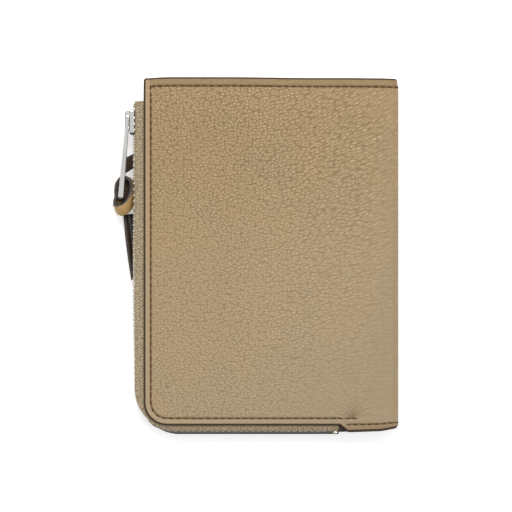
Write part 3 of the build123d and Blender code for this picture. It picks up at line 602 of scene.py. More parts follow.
def repeated(name, paths, piece, pitch, material, roll=0.0, variation=0.0):
    """Copies of a small piece along paths in millimetres, as one plain mesh. roll turns each
    copy about the path, and variation is how far it may sway."""
    tree = bpy.data.node_groups.get("Repeat along a seam") or repeat_tree()
    sockets = {item.name: item.identifier for item in tree.interface.items_tree
               if item.in_out == "INPUT"}
    joined = bmesh.new()
    for path in paths:
        curve = bpy.data.curves.new(name + "_path", "CURVE")
        curve.dimensions = "3D"
        spline = curve.splines.new("POLY")
        spline.points.add(len(path) - 1)
        for point, place in zip(spline.points, path):
            point.co = (*[v * MM for v in place], 1.0)
        run = sum((Vector(b) - Vector(a)).length for a, b in zip(path, path[1:]))
        line = bpy.data.objects.new(name + "_path", curve)
        bpy.context.scene.collection.objects.link(line)
        maker = line.modifiers.new("Repeat", "NODES")
        maker.node_group = tree
        for key, value in (("Piece", piece), ("Count", max(2, round(run / pitch) + 1)),
                           ("Roll", (roll, 0, 0)), ("Variation", variation),
                           ("Material", material)):
            maker[sockets[key]] = value
        bpy.context.view_layer.update()
        graph = bpy.context.evaluated_depsgraph_get()
        mesh = bpy.data.meshes.new_from_object(line.evaluated_get(graph))
        joined.from_mesh(mesh)
        bpy.data.meshes.remove(mesh)
        bpy.data.objects.remove(line)
        bpy.data.curves.remove(curve)
    result = bpy.data.meshes.new(name)
    joined.to_mesh(result)
    joined.free()
    result.shade_smooth()
    return new_piece(name, result, material)


def pattern_piece(name, rings):
    """A small closed piece lofted from rings of points in millimetres, kept out of view."""
    faces = loft_faces(len(rings), len(rings[0]))
    # the way round its two ends go decides how they are cut into triangles
    faces[-2:] = [end[::-1] for end in faces[-2:]]
    mesh = bpy.data.meshes.new(name)
    mesh.from_pydata([[v * MM for v in point] for ring in rings for point in ring], [], faces)
    return outward(bpy.data.objects.new(name, mesh))


def one_stitch(length, thread):
    """Thread that rises from one hole, lies on the leather and dives into the next hole."""
    rings = []
    for i in range(9):
        share = i / 8 * 2 - 1
        x = share * length / 2
        rise = thread * (0.28 - 0.75 * abs(share) ** 3)
        radius = thread / 2 * (1 - 0.35 * abs(share) ** 4)
        turns = [2 * pi * k / 8 for k in range(8)]
        rings.append([(x, radius * cos(turn), rise + radius * sin(turn)) for turn in turns])
    return pattern_piece("one_stitch", rings)


# ---------------------------------------------------------------- covers

NEAR_TUCK = (0.1, 0.3)     # at the top and the bottom the leather's ends draw in, first gently
NEAR_SPAN = (26, 37)       # between these places across the wallet,
FAR_TUCK = (0.15, 0.85)    # and then more
FAR_SPAN = (36, 42)        # between these, towards the spine
CORNER = (0.7, 1.2)        # radius of the corner at the top and the bottom of the spine
BOW = 1.0                  # the top edge rises this much between its ends
BULGE = 0.55               # the spine swells out between its folds
SEAM_DROP = 0.25           # the stitches pull the leather down this far
SEAM_WIDTH = 0.42          # and this wide
EDGE_ROUND = 0.6           # a cover's edges are rounded this far in,
EDGE_FALL = (0.5, 0.35)    # and fall this much on the outside and the inside
PINCH = 0.06               # the leather dips this much between a seam and its edge
TOP_FALL = 0.3             # and slopes down this much above the top seam
TOP_ROW = 2.8              # the top seam below the top edge
SECTION_ROW = 2.3          # the section's seam above its bottom edge
SECTION_DROP = 0.3         # the section's bottom edge sags this far
SECTION_SLOPE = 1.4        # the cut that leads down to the section is this wide
TOP_FADE = 12.0            # the top edge's bow dies out this far below it
FOOT_FADE = 5.0            # and the bottom's draw this far above it
NO_SEAM = 9.0              # stands for far from any seam
PANEL_CORNER = 6.8         # free corner of the panels inside
END_GAP = 1.2              # a row inside stops this short of a panel's edge
SIDE_ROW = 1.7             # a row across the card panels, from their ends
SUNK = 0.15                # thread lies this deep in the smooth leather
EDGE_STEPS = (0, 0.03, 0.1, 0.2, 0.34, 0.5, 0.8, 1.2, 1.6, 1.9, 2.1, 2.35, 2.6, 2.8, 2.95,
              3.15, 3.4, 3.7, 4.0, 4.3, 4.6, 5.0, 5.6)      # a cover's mesh beside its edge


def round_corner(a, b, radius):
    """Moves a point, a and b from the two edges of a square corner, into a round one."""
    inset = min(a, b)
    if a >= radius or b >= radius:
        return a, b
    side = radius - inset
    turn = (radius - b) / side * pi / 4 if a < b else pi / 2 - (radius - a) / side * pi / 4
    return radius - side * cos(turn), radius - side * sin(turn)


def wrap(along, lift, upper, radius):
    """Where a point of flat leather lies on the wallet. along is measured from the free edge,
    over the face, round the fold and down the spine, and lift is above the outer surface."""
    flat_run = SPINE_OUT - radius - LEFT
    bend_run = radius * pi / 2
    if along <= flat_run:
        x, z = LEFT + along, WALLET_TOP + lift
    elif along <= flat_run + bend_run:
        turn = (along - flat_run) / radius
        x = SPINE_OUT - radius + (radius + lift) * sin(turn)
        z = WALLET_TOP - radius + (radius + lift) * cos(turn)
    else:
        x = SPINE_OUT + lift
        z = WALLET_TOP - radius - (along - flat_run - bend_run)
    x += BULGE * ease(along, flat_run - bend_run / 2, flat_run + 2 * bend_run)
    return (x, z) if upper else (x, WALLET_TOP - z)


def tucked(x, y):
    """The leather's ends draw in a little towards the spine and turn its corner round."""
    low = y < 0
    draw = NEAR_TUCK[low] * ease(x, *NEAR_SPAN) + FAR_TUCK[low] * ease(x, *FAR_SPAN)
    past = max(x - (SPINE_OUT - CORNER[low]), 0)
    corner = CORNER[low] - max(CORNER[low] ** 2 - past ** 2, 0) ** 0.5
    if not low:
        # lowest at the free edge, highest near it, and a little lower towards the spine
        bow = BOW * (0.62 + 0.38 * ease(x, LEFT, LEFT + 8)) * (1 - 0.3 * ease(x, -15, 15))
        y += (bow - draw) * (1 - ease(TOP - y, 0, TOP_FADE))
        return y - corner * (1 - ease(TOP - y, 0, FOOT_FADE / 2))
    y += draw * (1 - ease(y - BOTTOM, 0, FOOT_FADE))
    return y + corner * (1 - ease(y - BOTTOM, 0, FOOT_FADE / 2))


def down_and_round(left, low, radius, inset, head):
    """A seam's way down a free edge from below head, and round the lower corner."""
    bend = radius - inset
    side = [(left + inset, y) for y in reversed(spread(low + radius, head, 4.0))]
    turns = [t * pi / 24 for t in range(1, 13)]
    return side + [(left + radius - bend * cos(turn), low + radius - bend * sin(turn))
                   for turn in turns]


def seam_paths(settings, upper):
    """Seams of one cover as (along, y) points in millimetres, each from the free edge on."""
    inset = settings.seam_inset / MM
    radius = settings.corner_radius / MM
    low = BOTTOM + (settings.cut_back / MM if upper else 0)
    end = SPINE_OUT - LEFT - settings.spine_radius / MM * (1 - pi / 2)
    head = TOP - TOP_ROW - 2.2
    edge = [(inset, head), *down_and_round(0, low, radius, inset, head)]
    spine_end = end + WALLET_TOP / 2 - settings.spine_radius / MM
    if upper:
        stop = settings.section_x / MM - LEFT + 3.0
        foot = [(x, low + inset) for x in spread(radius + 2, stop, 4.0)] + [(stop, low + inset)]
        first = settings.section_x / MM - LEFT + 0.8
        section = [(x, BOTTOM + SECTION_ROW) for x in spread(first, spine_end, 1.0)]
        top = [(x, TOP - TOP_ROW) for x in spread(inset + 0.7, spine_end, 1.0)]
        knot = [(inset, TOP - TOP_ROW - 0.2), (inset, TOP - TOP_ROW - 0.6)]
        return [edge + foot, top, section, knot]
    foot = [(x, low + inset) for x in spread(radius + 2, spine_end, 1.0)]
    top = [(x, TOP - TOP_ROW) for x in spread(inset - 0.3, spine_end, 1.0)]
    return [edge + foot, top]


def turned_row(low, inset, head, stop, level):
    """A row of stitches down a panel's free edge, round its corner and along its foot."""
    path = down_and_round(LEFT, low, PANEL_CORNER, inset, head) + [(stop, low + inset)]
    return [(x, y, level) for x, y in path]


def card_rows(settings):
    """Rows through the note pocket's wall and the three card panels, on their upper side."""
    inset = settings.seam_inset / MM
    wall_low, wall_high = corners("note_pocket_wall")
    level = wall_high[2] - SUNK
    panels = [corners("card_panel_" + number) for number in "123"]
    reach = panels[0][1][1]
    top = panels[-1][1][2] - SUNK
    start = LEFT + inset
    rows = [[(start, wall_high[1] - 2.0, level), (start, reach + END_GAP, level)],
            [(start, reach - SIDE_ROW, top), (start, SIDE_ROW - reach, top)],
            turned_row(wall_low[1], inset, -reach - END_GAP, wall_high[0] - END_GAP, level)]
    for _, high in reversed(panels):
        level = high[2] - SUNK
        for y in (reach - SIDE_ROW, SIDE_ROW - reach):
            rows.append([(start + 1.5, y, level), (high[0] - END_GAP, y, level)])
        start = high[0]
    return rows


def wall_rows(settings):
    """Rows through the compartment's inner wall and the slip pocket, on their under side."""
    inset = settings.seam_inset / MM
    wall_low, wall_high = corners("inner_wall")
    pocket_low, pocket_high = corners("slip_pocket")
    level, stop, start = wall_low[2] + SUNK, wall_high[0] - END_GAP, LEFT + inset
    top = TOP - TOP_ROW
    return [[(start, top - 1.5, level), (start, pocket_high[1] + 1, level)],
            turned_row(pocket_low[1], inset, pocket_high[1] - END_GAP, stop,
                       pocket_low[2] + SUNK),
            [(start, top, level), (stop, top, level)]]


def distance_to(paths, x, y):
    """The shortest way from a point to any of the paths."""
    best = NO_SEAM
    for path in paths:
        for (ax, ay), (bx, by) in zip(path, path[1:]):
            if min(ax, bx) - 3 > x or max(ax, bx) + 3 < x:
                continue
            if min(ay, by) - 3 > y or max(ay, by) + 3 < y:
                continue
            dx, dy = bx - ax, by - ay
            share = ((x - ax) * dx + (y - ay) * dy) / max(dx * dx + dy * dy, 1e-9)
            share = min(max(share, 0), 1)
            best = min(best, hypot(x - ax - share * dx, y - ay - share * dy))
    return best


def cover(name, settings, upper, material):
    """One leather cover from its free edge to the middle of the spine, as a closed shell with
    rounded painted edges, seams pressed in and the corner cut round."""
    radius, spine = settings.corner_radius / MM, settings.spine_radius / MM
    section = settings.section_x / MM
    cut = settings.cut_back / MM if upper else 0.0
    face_run = SPINE_OUT - spine - LEFT
    bend_end = face_run + spine * pi / 2
    total = bend_end + WALLET_TOP / 2 - spine
    low = BOTTOM + cut
    columns = [*EDGE_STEPS, *spread(radius, face_run, 1.3), *spread(face_run, bend_end, 0.35),
               *spread(bend_end, total, 0.9), total]
    rows = [*[low + e for e in EDGE_STEPS], *spread(low + radius, TOP - radius, 1.3),
            TOP - radius, *[TOP - e for e in reversed(EDGE_STEPS)]]
    paths = seam_paths(settings, upper)
    points, flat, values = [], [], {"inset": [], "band": [], "groove": [], "gather": []}
    for outside in (True, False):
        for along in columns:
            for y in rows:
                b, t = y - low, TOP - y
                inset = min(along, b, t)
                place, height = round_corner(along, b, radius)
                if t < 1.0 and along < 1.0:
                    place, height = round_corner(along, t, 1.0)
                    height = TOP - low - height
                step = ease(LEFT + place, section - SECTION_SLOPE, section)
                height -= cut * step * (1 - ease(b, 2.6, radius))
                height -= SECTION_DROP * bool(cut) * step * (1 - ease(b, 0.0, FOOT_FADE))
                level = low + height
                rounding = 1 - (1 - (1 - min(inset / EDGE_ROUND, 1)) ** 2) ** 0.5
                if outside:
                    seam = distance_to(paths, place, level)
                    strip = ease(inset, 0.3, 1.2) * (1 - ease(inset, 1.2, 2.3))
                    top_edge = (1 - ease(t, 0.2, TOP_ROW)) * ease(place, 0.0, 2.0)
                    lift = (-EDGE_FALL[0] * rounding - PINCH * strip - TOP_FALL * top_edge
                            - SEAM_DROP * exp(-(seam / SEAM_WIDTH) ** 2))
                else:
                    seam = NO_SEAM
                    lift = -LEATHER + EDGE_FALL[1] * rounding
                x, z = wrap(place, lift, upper, spine)
                points.append((x, tucked(min(x, SPINE_OUT), level), z))
                flat.append((place, level))
                # paint laps further over the section's edge and less over the top edge
                lap = 1 - 0.35 * step * (b < 1.2) + 0.2 * (t < 1.2 and place > 0.9)
                # the bands that get painted shade: above the top seam, and along the section's
                # foot
                foot_band = step * (1 - ease(b, 2.0, 2.4)) if upper else 0.0
                top_band = ease(TOP_ROW + 0.3 - t, 0.0, 0.6) * ease(place, 1.6, 2.4)
                for key, value in (("inset", inset * lap), ("band", max(top_band, foot_band)),
                                   ("groove", seam), ("gather", float(upper))):
                    values[key].append(value)
    across, deep = len(columns), len(rows)

    def at(side, i, j):
        return side * across * deep + i * deep + j

    faces = []
    for i in range(across - 1):
        for j in range(deep - 1):
            faces.append((at(0, i, j), at(0, i + 1, j), at(0, i + 1, j + 1), at(0, i, j + 1)))
            faces.append((at(1, i, j), at(1, i, j + 1), at(1, i + 1, j + 1), at(1, i + 1, j)))
    rim = ([(i, 0) for i in range(across)] + [(across - 1, j) for j in range(1, deep)]
           + [(i, deep - 1) for i in range(across - 2, -1, -1)]
           + [(0, j) for j in range(deep - 2, 0, -1)])
    for (i, j), (k, m) in zip(rim, rim[1:] + rim[:1]):
        faces.append((at(1, i, j), at(1, k, m), at(0, k, m), at(0, i, j)))
    if not upper:
        faces = [tuple(reversed(face)) for face in faces]
    return mesh_piece(name, points, faces, material, flat, values)


# ---------------------------------------------------------------- zip line

TAPE_LOW, TAPE_HIGH = corners("zip_tape_outer")
ZIP_MIDDLE = (TAPE_LOW[2] + corners("zip_tape_inner")[1][2]) / 2
ZIP_LEVEL = TAPE_HIGH[2] - ZIP_MIDDLE
# each tape's name, which way it lies from the teeth, and how far it leans out over them at the
# foot of the wallet
SIDES = (("outer", 1, 0.9), ("inner", -1, 1.5))
FOOT_START = 14.0          # the lean starts this far before the end of the corner
FLAT_FOOT_SHADE, EDGE_FOOT_SHADE = 0.22, 0.75      # how dark painted shade makes the foot, and its turned edge more
FIRST_TOOTH = 0.48         # from the top of the teeth to the middle of the first one
LAST_TOOTH = 3.6           # the last tooth stops at least this far before the tape's end
HIDDEN = 0.5               # past the slider's run the tape hides this much more of the teeth,
HIDDEN_START = 32.0        # from this far before the corner


def zip_sizes(settings):
    """The corner's radius, half a tape's thickness, and the straight run down the free edge."""
    radius, half = settings.corner_radius / MM, settings.tape / MM / 2
    return radius, half, TAPE_HIGH[1] - TAPE_LOW[1] - half - radius


def zip_spot(distance, outward_by, up, settings):
    """A point beside the zip: this far along it from the top end, outwards from the tape's
    middle, and up from the middle of the teeth."""
    radius, half, side = zip_sizes(settings)
    x_line, y_line = TAPE_LOW[0] + half, TAPE_LOW[1] + half
    turn = radius * pi / 2
    if distance <= side:
        x, y = x_line - outward_by, TAPE_HIGH[1] - distance
    elif distance <= side + turn:
        angle = (distance - side) / radius
        reach = radius + outward_by
        x, y = x_line + radius - reach * cos(angle), y_line + radius - reach * sin(angle)
    else:
        x, y = x_line + radius + distance - side - turn, y_line - outward_by
    return x, y, ZIP_MIDDLE + up


def zip_length(settings):
    """How long a tape is round the L."""
    radius, half, side = zip_sizes(settings)
    return side + radius * pi / 2 + TAPE_HIGH[0] - TAPE_LOW[0] - half - radius


def zip_steps(settings):
    """Distances along the zip, closer together round the corner."""
    radius, _, side = zip_sizes(settings)
    turn, stop = side + radius * pi / 2, zip_length(settings)
    return [*spread(0.0, side, 2.0), *spread(side, turn, 0.8), *spread(turn, stop, 2.0), stop]


def tape(name, settings, sign, lean, material):
    """A woven tape: flat where it is sewn in, and turned down towards the teeth. sign is 1 for
    the outer tape and -1 for the inner one."""
    thick = settings.tape / MM
    middle = ZIP_LEVEL - thick / 2
    bend = settings.turn / MM - thick / 2
    line = [(x, middle) for x in spread(-settings.margin / MM, -bend, 1.0)]
    line += [(-bend + bend * sin(t * pi / 16), middle - bend + bend * cos(t * pi / 16))
             for t in range(9)]
    line += [(0.0, up) for up in reversed(spread(settings.edge_gap / MM, middle - bend, 0.5))]
    near, far, widths = [], [], [0.0]
    for index, (out, up) in enumerate(line):
        before, after = line[max(index - 1, 0)], line[min(index + 1, len(line) - 1)]
        dx, dy = after[0] - before[0], after[1] - before[1]
        size = hypot(dx, dy)
        nx, ny = -dy / size * thick / 2, dx / size * thick / 2
        near.append((out - nx, up - ny))
        far.append((out + nx, up + ny))
        if index:
            widths.append(widths[-1] + hypot(out - before[0], up - before[1]))
    ring = list(zip(near + far[::-1], widths + widths[::-1]))
    steps = zip_steps(settings)
    points, flat, foot_shade = [], [], []
    corner_end = TAPE_HIGH[1] - TAPE_LOW[1] + settings.corner_radius / MM * (pi / 2 - 1)
    for distance in steps:
        # at the foot of the wallet the turned edge leans out over the teeth
        foot = ease(distance, corner_end - FOOT_START, corner_end)
        for (out, up), width in ring:
            out += lean * foot * ease(middle - up, bend, middle)
            points.append(zip_spot(distance, out, sign * up, settings))
            flat.append((distance, width))
            # painted shade at the foot, darkest where the tape turns down
            foot_shade.append(foot * (FLAT_FOOT_SHADE + EDGE_FOOT_SHADE * ease(middle - up, 0.0, bend)))
    return outward(mesh_piece(name, points, loft_faces(len(steps), len(ring)), material, flat,
                              {"foot_shade": foot_shade}))


def squared(wave, swell):
    """Flattens the tops of a wave, which turns a circle into a rounded square."""
    return max(-1, min(1, swell * wave))


def one_tooth(sign):
    """A die-cast tooth: two jaws on the tape and a domed nose across the middle."""
    rings = []
    profile = [(-0.65, 0.2, 0.6), (-0.55, 0.33, 0.75), (-0.2, 0.42, 0.84), (0.5, 0.42, 0.86),
               (0.8, 0.48, 0.86), (1.9, 0.48, 0.86), (2.05, 0.42, 0.8), (2.1, 0.3, 0.7)]
    for up, half_x, half_y in profile:
        turns = [2 * pi * (k + 0.5) / 12 for k in range(12)]
        rings.append([(half_x * squared(cos(turn), 1.3), half_y * squared(sin(turn), 1.3),
                       sign * up) for turn in turns])
    return pattern_piece("one_tooth", rings)


# ---------------------------------------------------------------- thong

def ribbon(name, path, tilts, width, thick, material, flesh_out=False, slant=0.0):
    """A strap of leather along a path in millimetres. Each tilt is the direction of its width,
    and its first end is cut aslant."""
    points, flat, edges, fleshes = [], [], [], []
    corner = min(thick * 0.3, 0.35)
    half, deep = width / 2, thick / 2
    profile = ((-half, -deep + corner), (-half + corner, -deep), (0, -deep),
               (half - corner, -deep), (half, -deep + corner), (half, deep - corner),
               (half - corner, deep), (0, deep), (-half + corner, deep),
               (-half, deep - corner))
    run = 0.0
    for index, point in enumerate(path):
        before, after = path[max(index - 1, 0)], path[min(index + 1, len(path) - 1)]
        ahead = (Vector(after) - Vector(before)).normalized()
        broad = Vector(tilts[index])
        broad = (broad - ahead * broad.dot(ahead)).normalized()
        out = ahead.cross(broad)
        run += (Vector(point) - Vector(before)).length
        for w, t in profile:
            place = Vector(point) + broad * w + out * t
            if index == 0:
                place += ahead * w * slant
            points.append(tuple(place))
            flat.append((run, w))
            edges.append(float(abs(w) > half - corner / 2))
            fleshes.append(float((t > 0) == flesh_out))
    return outward(mesh_piece(name, points, loft_faces(len(path), len(profile)), material, flat,
                              {"edge": edges, "flesh": fleshes}))


def smoothed(path, steps=6):
    """A smooth path through points."""
    result = []
    for index in range(len(path) - 1):
        p0 = Vector(path[max(index - 1, 0)])
        p1, p2 = Vector(path[index]), Vector(path[index + 1])
        p3 = Vector(path[min(index + 2, len(path) - 1)])
        for step in range(steps):
            t = step / steps
            result.append(tuple(0.5 * (2 * p1 + (p2 - p0) * t
                                       + (2 * p0 - 5 * p1 + 4 * p2 - p3) * t * t
                                       + (3 * p1 - p0 - 3 * p2 + p3) * t ** 3)))
    return result + [tuple(path[-1])]


# ---------------------------------------------------------------- operators

THREAD_LEVEL = -0.75 * SEAM_DROP       # height of the stitches above the covers
GUSSET_DROP = 0.55         # the folded cloth bulges out this far below the leather beside it,
GUSSET_FOOT = (57.5, 58.0)             # on its lower edge
GUSSET_FADE = (28, 38)     # and no more from here towards the spine,
GUSSET_OUT = 0.5           # and this far to the side,
GUSSET_END = (23.6, 24.5)  # at its end


def made(name, build, settings):
    """The material of that name, made once."""
    return bpy.data.materials.get(name) or finish(name, build, settings)


def stitched(name, settings, rows, roll):
    """Rows of stitches in waxed thread, as one piece."""
    thread = made("Waxed polyester thread", waxed_thread, settings)
    stitch = one_stitch(settings.stitch_length / MM, settings.thread / MM)
    return repeated(name, rows, stitch, settings.stitch_pitch / MM, thread, roll=roll,
                    variation=0.06)


def folded(obj, upper, slot, *nodes):
    """Bakes a piece's placing into its mesh and hides the solids that it stands for. upper and
    slot are not used.
    """
    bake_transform(obj)
    if nodes:
        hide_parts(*nodes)


class WALLET_OT_covers(bpy.types.Operator):
    """Make the two pebbled leather covers that meet on the spine"""
    bl_idname = "wallet.covers"
    bl_label = "Covers"

    def execute(self, context):
        settings = context.scene.wallet_leather
        leather = made("Pebbled calf leather", pebbled_leather, settings)
        for name, upper, nodes in (("cover_upper", True, ("back_cover", "spine_cover")),
                                   ("cover_lower", False, ("front_cover",))):
            folded(cover(name, settings, upper, leather), upper, "cover_leather", *nodes)
        return {"FINISHED"}


class WALLET_OT_stitching(bpy.types.Operator):
    """Sew the covers with waxed thread"""
    bl_idname = "wallet.stitching"
    bl_label = "Stitching"

    def execute(self, context):
        settings = context.scene.wallet_leather
        radius = settings.spine_radius / MM
        for name, upper, roll in (("stitches_upper", True, 0), ("stitches_lower", False, pi)):
            rows = []
            for path in seam_paths(settings, upper):
                laid = [(*wrap(along, THREAD_LEVEL, upper, radius), y) for along, y in path]
                rows.append([(x, tucked(min(x, SPINE_OUT), y), z) for x, z, y in laid])
            folded(stitched(name, settings, rows, roll), upper, "cover_leather")
        return {"FINISHED"}


class WALLET_OT_inside(bpy.types.Operator):
    """Finish the pockets, walls, linings and boards inside the wallet"""
    bl_idname = "wallet.inside"
    bl_label = "Inside"

    def execute(self, context):
        settings = context.scene.wallet_leather
        leather = made("Smooth waxed leather", smooth_leather, settings)
        lining = made("Cotton twill lining", twill_lining, settings)
        stiff = made("Pressed fibre board", fibre_board, settings)
        gusset = merged_copy("bottom_gusset", "bottom_gusset_fabric", lining, bevel=0.3)
        for vertex in gusset.data.vertices:
            x, y = vertex.co.x / MM, vertex.co.y / MM
            down = ease(-y, *GUSSET_FOOT) * (1 - ease(x, *GUSSET_FADE))
            vertex.co.y -= GUSSET_DROP * MM * down
            vertex.co.x -= GUSSET_OUT * MM * (1 - ease(x, *GUSSET_END))
        attach(gusset, "zip_half", "inner_leather", "bottom_gusset")
        panels = {"note_pocket_wall": "card_half", "card_panel_1": "card_half",
                  "card_panel_2": "card_half", "card_panel_3": "card_half",
                  "inner_wall": "zip_half", "slip_pocket": "zip_half",
                  "top_gusset": "zip_half", "spine_gusset": "zip_half"}
        for node_name, body in panels.items():
            panel = merged_copy(node_name, node_name + "_leather", leather, bevel=0.18)
            if not node_name.endswith("gusset"):
                mark_edges(panel)
            attach(panel, body, "inner_leather", node_name)
        for name, body, rows, roll in (
                ("stitches_cards", "card_half", card_rows(settings), 0),
                ("stitches_wall", "zip_half", wall_rows(settings), pi)):
            attach(stitched(name, settings, rows, roll), body, "inner_leather")
        for node_name in ("front_lining", "spine_lining", "outer_lining", "inner_lining"):
            plain(node_name, lining)
        for node_name in ("outer_stiffener", "inner_stiffener"):
            plain(node_name, stiff)
        return {"FINISHED"}


def plain(node_name, material):
    """A solid whose shape is right keeps it and gets the material."""
    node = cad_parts[node_name]
    if not node.material_slots:
        node.data.materials.append(material)
    for place in node.material_slots:
        place.link = "OBJECT"
        place.material = material


class WALLET_OT_zip(bpy.types.Operator):
    """Make the woven tapes, the teeth and the stops"""
    bl_idname = "wallet.zip"
    bl_label = "Zip"

    def execute(self, context):
        settings = context.scene.wallet_zip
        weave = made("Woven polyester tape", woven_tape, settings)
        plated = made("Plated zip teeth", plated_metal, settings.teeth_colour)
        pitch = settings.pitch / MM
        bend = TAPE_HIGH[1] - TAPE_LOW[1] - settings.corner_radius / MM
        for side, sign, lean in SIDES:
            piece = tape("tape_" + side, settings, sign, lean, weave)
            attach(piece, "zip_half", "zip_tape", "zip_tape_" + side)
            first = TAPE_HIGH[1] - corners("zip_teeth_" + side)[1][1] + FIRST_TOOTH
            count = int((zip_length(settings) - first - LAST_TOOTH) / pitch)
            spots = [first + index * pitch / 4 for index in range(count * 4 + 1)]
            line = [zip_spot(distance, -HIDDEN * ease(distance, bend - HIDDEN_START, bend), 0.0,
                             settings) for distance in spots]
            teeth = repeated("teeth_" + side, [line], one_tooth(sign), pitch, plated)
            attach(teeth, "zip_half", "zip_teeth", "zip_teeth_" + side)
        for node_name in ("zip_top_stops", "zip_bottom_stop"):
            stop = merged_copy(node_name, node_name + "_metal", plated, bevel=0.2)
            attach(stop, "zip_half", "zip_teeth", node_name)
        return {"FINISHED"}


class WALLET_OT_slider(bpy.types.Operator):
    """Make the polished slider, its bail and the pull ring"""
    bl_idname = "wallet.slider"
    bl_label = "Slider and ring"

    def execute(self, context):
        polished = made("Polished plated metal", plated_metal,
                        context.scene.wallet_zip.metal)
        for node_name, body, soft in (("slider_body", "slider", 0.22),
                                      ("slider_bail", "slider", 0.2),
                                      ("pull_ring", "puller", 0.0)):
            piece = merged_copy(node_name, node_name + "_metal", polished, bevel=soft)
            attach(piece, body, "polished_metal", node_name)
        return {"FINISHED"}


# The thong's course, x and y from the foot of its loop and z from the floor, and the way that
# its width goes at each point.
LOOP_FOOT = (3.15, 2.4)    # how far inside the loop's box its foot is
LOOP_EDGE = [(1.2, 6.5, 11.7), (-0.3, 6.0, 11.4), (-1.55, 4.2, 11.2), (-1.85, 1.9, 11.0),
             (-1.75, 0.1, 10.9), (-2.15, -1.2, 10.8), (-2.15, -2.2, 10.7), (-1.3, -2.7, 10.6),
             (0.1, -2.45, 10.5), (1.45, -1.3, 10.4), (2.45, 0.4, 10.3), (3.0, 2.2, 10.3),
             (3.05, 4.0, 10.6), (2.5, 5.6, 11.2), (1.2, 6.5, 11.7)]
LOOP_LEAN = [*[(0, 0, -1)] * 5, (0, -0.2, -1), (0.1, -0.5, -0.9), (0.2, -0.8, -0.7),
             (0.25, -0.85, -0.6), (0.35, -0.75, -0.65), (0.35, -0.55, -0.8), (0.3, -0.3, -0.92),
             (0.25, -0.15, -0.95), (0.12, 0, -1), (0, 0, -1)]
THROAT = [(0.9, 5.9, 7.4), (0.8, 3.0, 7.2), (0.4, 0.6, 7.0), (-0.2, -1.5, 6.6)]
TONGUE = [(1.2, 10.55, 5.0), (3.4, 11.9, 4.9), (5.2, 12.6, 4.6), (6.2, 11.2, 4.2),
          (6.3, 8.6, 3.8), (5.7, 5.0, 3.4), (4.4, 1.2, 3.1), (2.6, -1.6, 3.0)]
TONGUE_LEAN = [(-0.55, 0.84, 0.05), (-0.55, 0.84, 0.05), (0.1, 1.0, 0), (0.6, 0.6, 0.4),
               (0.5, 0.1, 0.8), (0, 0, 1), (0, 0, 1), (0, 0, 1)]
LOOP_WIDTH, BAND_WIDTH, TAIL_WIDTH = 4.6, 4.4, 3.9
THONG = 1.1                # its thickness, apart from the loop and the band round the knot
BAND_TURN = 47             # the band goes round the knot at this angle
BAND_REACH, BAND_RISE = 3.6, 2.05      # and this far from the knot's middle
TAIL_LEAN = 0.122          # the tails go this share of their length to the side


class WALLET_OT_thong(bpy.types.Operator):
    """Tie the leather thong on the ring"""
    bl_idname = "wallet.thong"
    bl_label = "Thong"

    def execute(self, context):
        leather = made("Vegetable-tanned thong leather", thong_leather,
                       context.scene.wallet_thong)
        low, high = corners("strap_loop")
        foot = Vector((high[0] - LOOP_FOOT[0], low[1] + LOOP_FOOT[1], 0))

        def course(spots):
            return smoothed([(foot.x + x, foot.y + y, z) for x, y, z in spots])

        widths = smoothed(LOOP_LEAN)
        middle = [tuple(Vector(spot) + Vector(wide).normalized() * (LOOP_WIDTH / 2))
                  for spot, wide in zip(course(LOOP_EDGE), widths)]
        loop = ribbon("thong_loop", middle, widths, LOOP_WIDTH, 1.15, leather, flesh_out=True)
        attach(loop, "puller", "thong_leather", "strap_loop")
        throat = course(THROAT)
        core = ribbon("thong_core", throat, [(1, 0, 0)] * len(throat), TAIL_WIDTH, THONG,
                      leather, flesh_out=True)
        attach(core, "puller", "thong_leather", "strap_core")

        turn = radians(BAND_TURN)
        ahead, aside = Vector((cos(turn), sin(turn), 0)), Vector((sin(turn), -cos(turn), 0))
        centre = Vector([(a + b) / 2 for a, b in zip(*corners("strap_knot"))])
        angles = [2 * pi * step / 40 for step in range(41)]
        line = [tuple(centre + ahead * BAND_REACH * squared(cos(angle), 1.12)
                      + Vector((0, 0, BAND_RISE * squared(sin(angle), 1.12))))
                for angle in angles]
        band = ribbon("thong_wrap", line, [aside] * len(line), BAND_WIDTH, 1.0, leather)
        attach(band, "puller", "thong_leather", "strap_knot")

        tongue = ribbon("thong_tongue", course(TONGUE), smoothed(TONGUE_LEAN), BAND_WIDTH, THONG,
                        leather, flesh_out=True, slant=0.6)
        attach(tongue, "puller", "thong_leather", "strap_tongue")

        for tail, bow in (("tail_long", -0.25), ("tail_short", 0.25)):
            low, high = corners("strap_" + tail)
            length = high[1] - low[1]
            root = Vector(((high[0] + low[0]) / 2 - length * TAIL_LEAN / 2 - 0.35,
                           high[1] - 0.1, 0))
            shares = [step / 12 for step in range(13)]
            spots = [(root.x + bow * sin(pi * share) + share * length * TAIL_LEAN,
                      root.y - share * length, 3.0 - 0.5 * share * share) for share in shares]
            strip = ribbon("thong_" + tail, spots, [(-0.42, 0, 0.9)] * len(spots), TAIL_WIDTH,
                           THONG, leather)
            attach(strip, "strap_tails", "thong_leather", "strap_" + tail)
        return {"FINISHED"}


FLOOR = 3000.0             # half the floor's width, in millimetres
CAMERA_RISE = 1000.0       # the camera above the wallet,
CAMERA_AT = (-4.9, -0.1)   # where it stands
VIEW_WIDTH = 171.3         # and how much of the wallet's plane it sees across
LAMPS = (("key", (0.15, 1.15, 2.3), 1.1, 34.0),      # name, place and width in metres, power
         ("fill", (0.6, -0.1, 1.5), 1.2, 4.0))


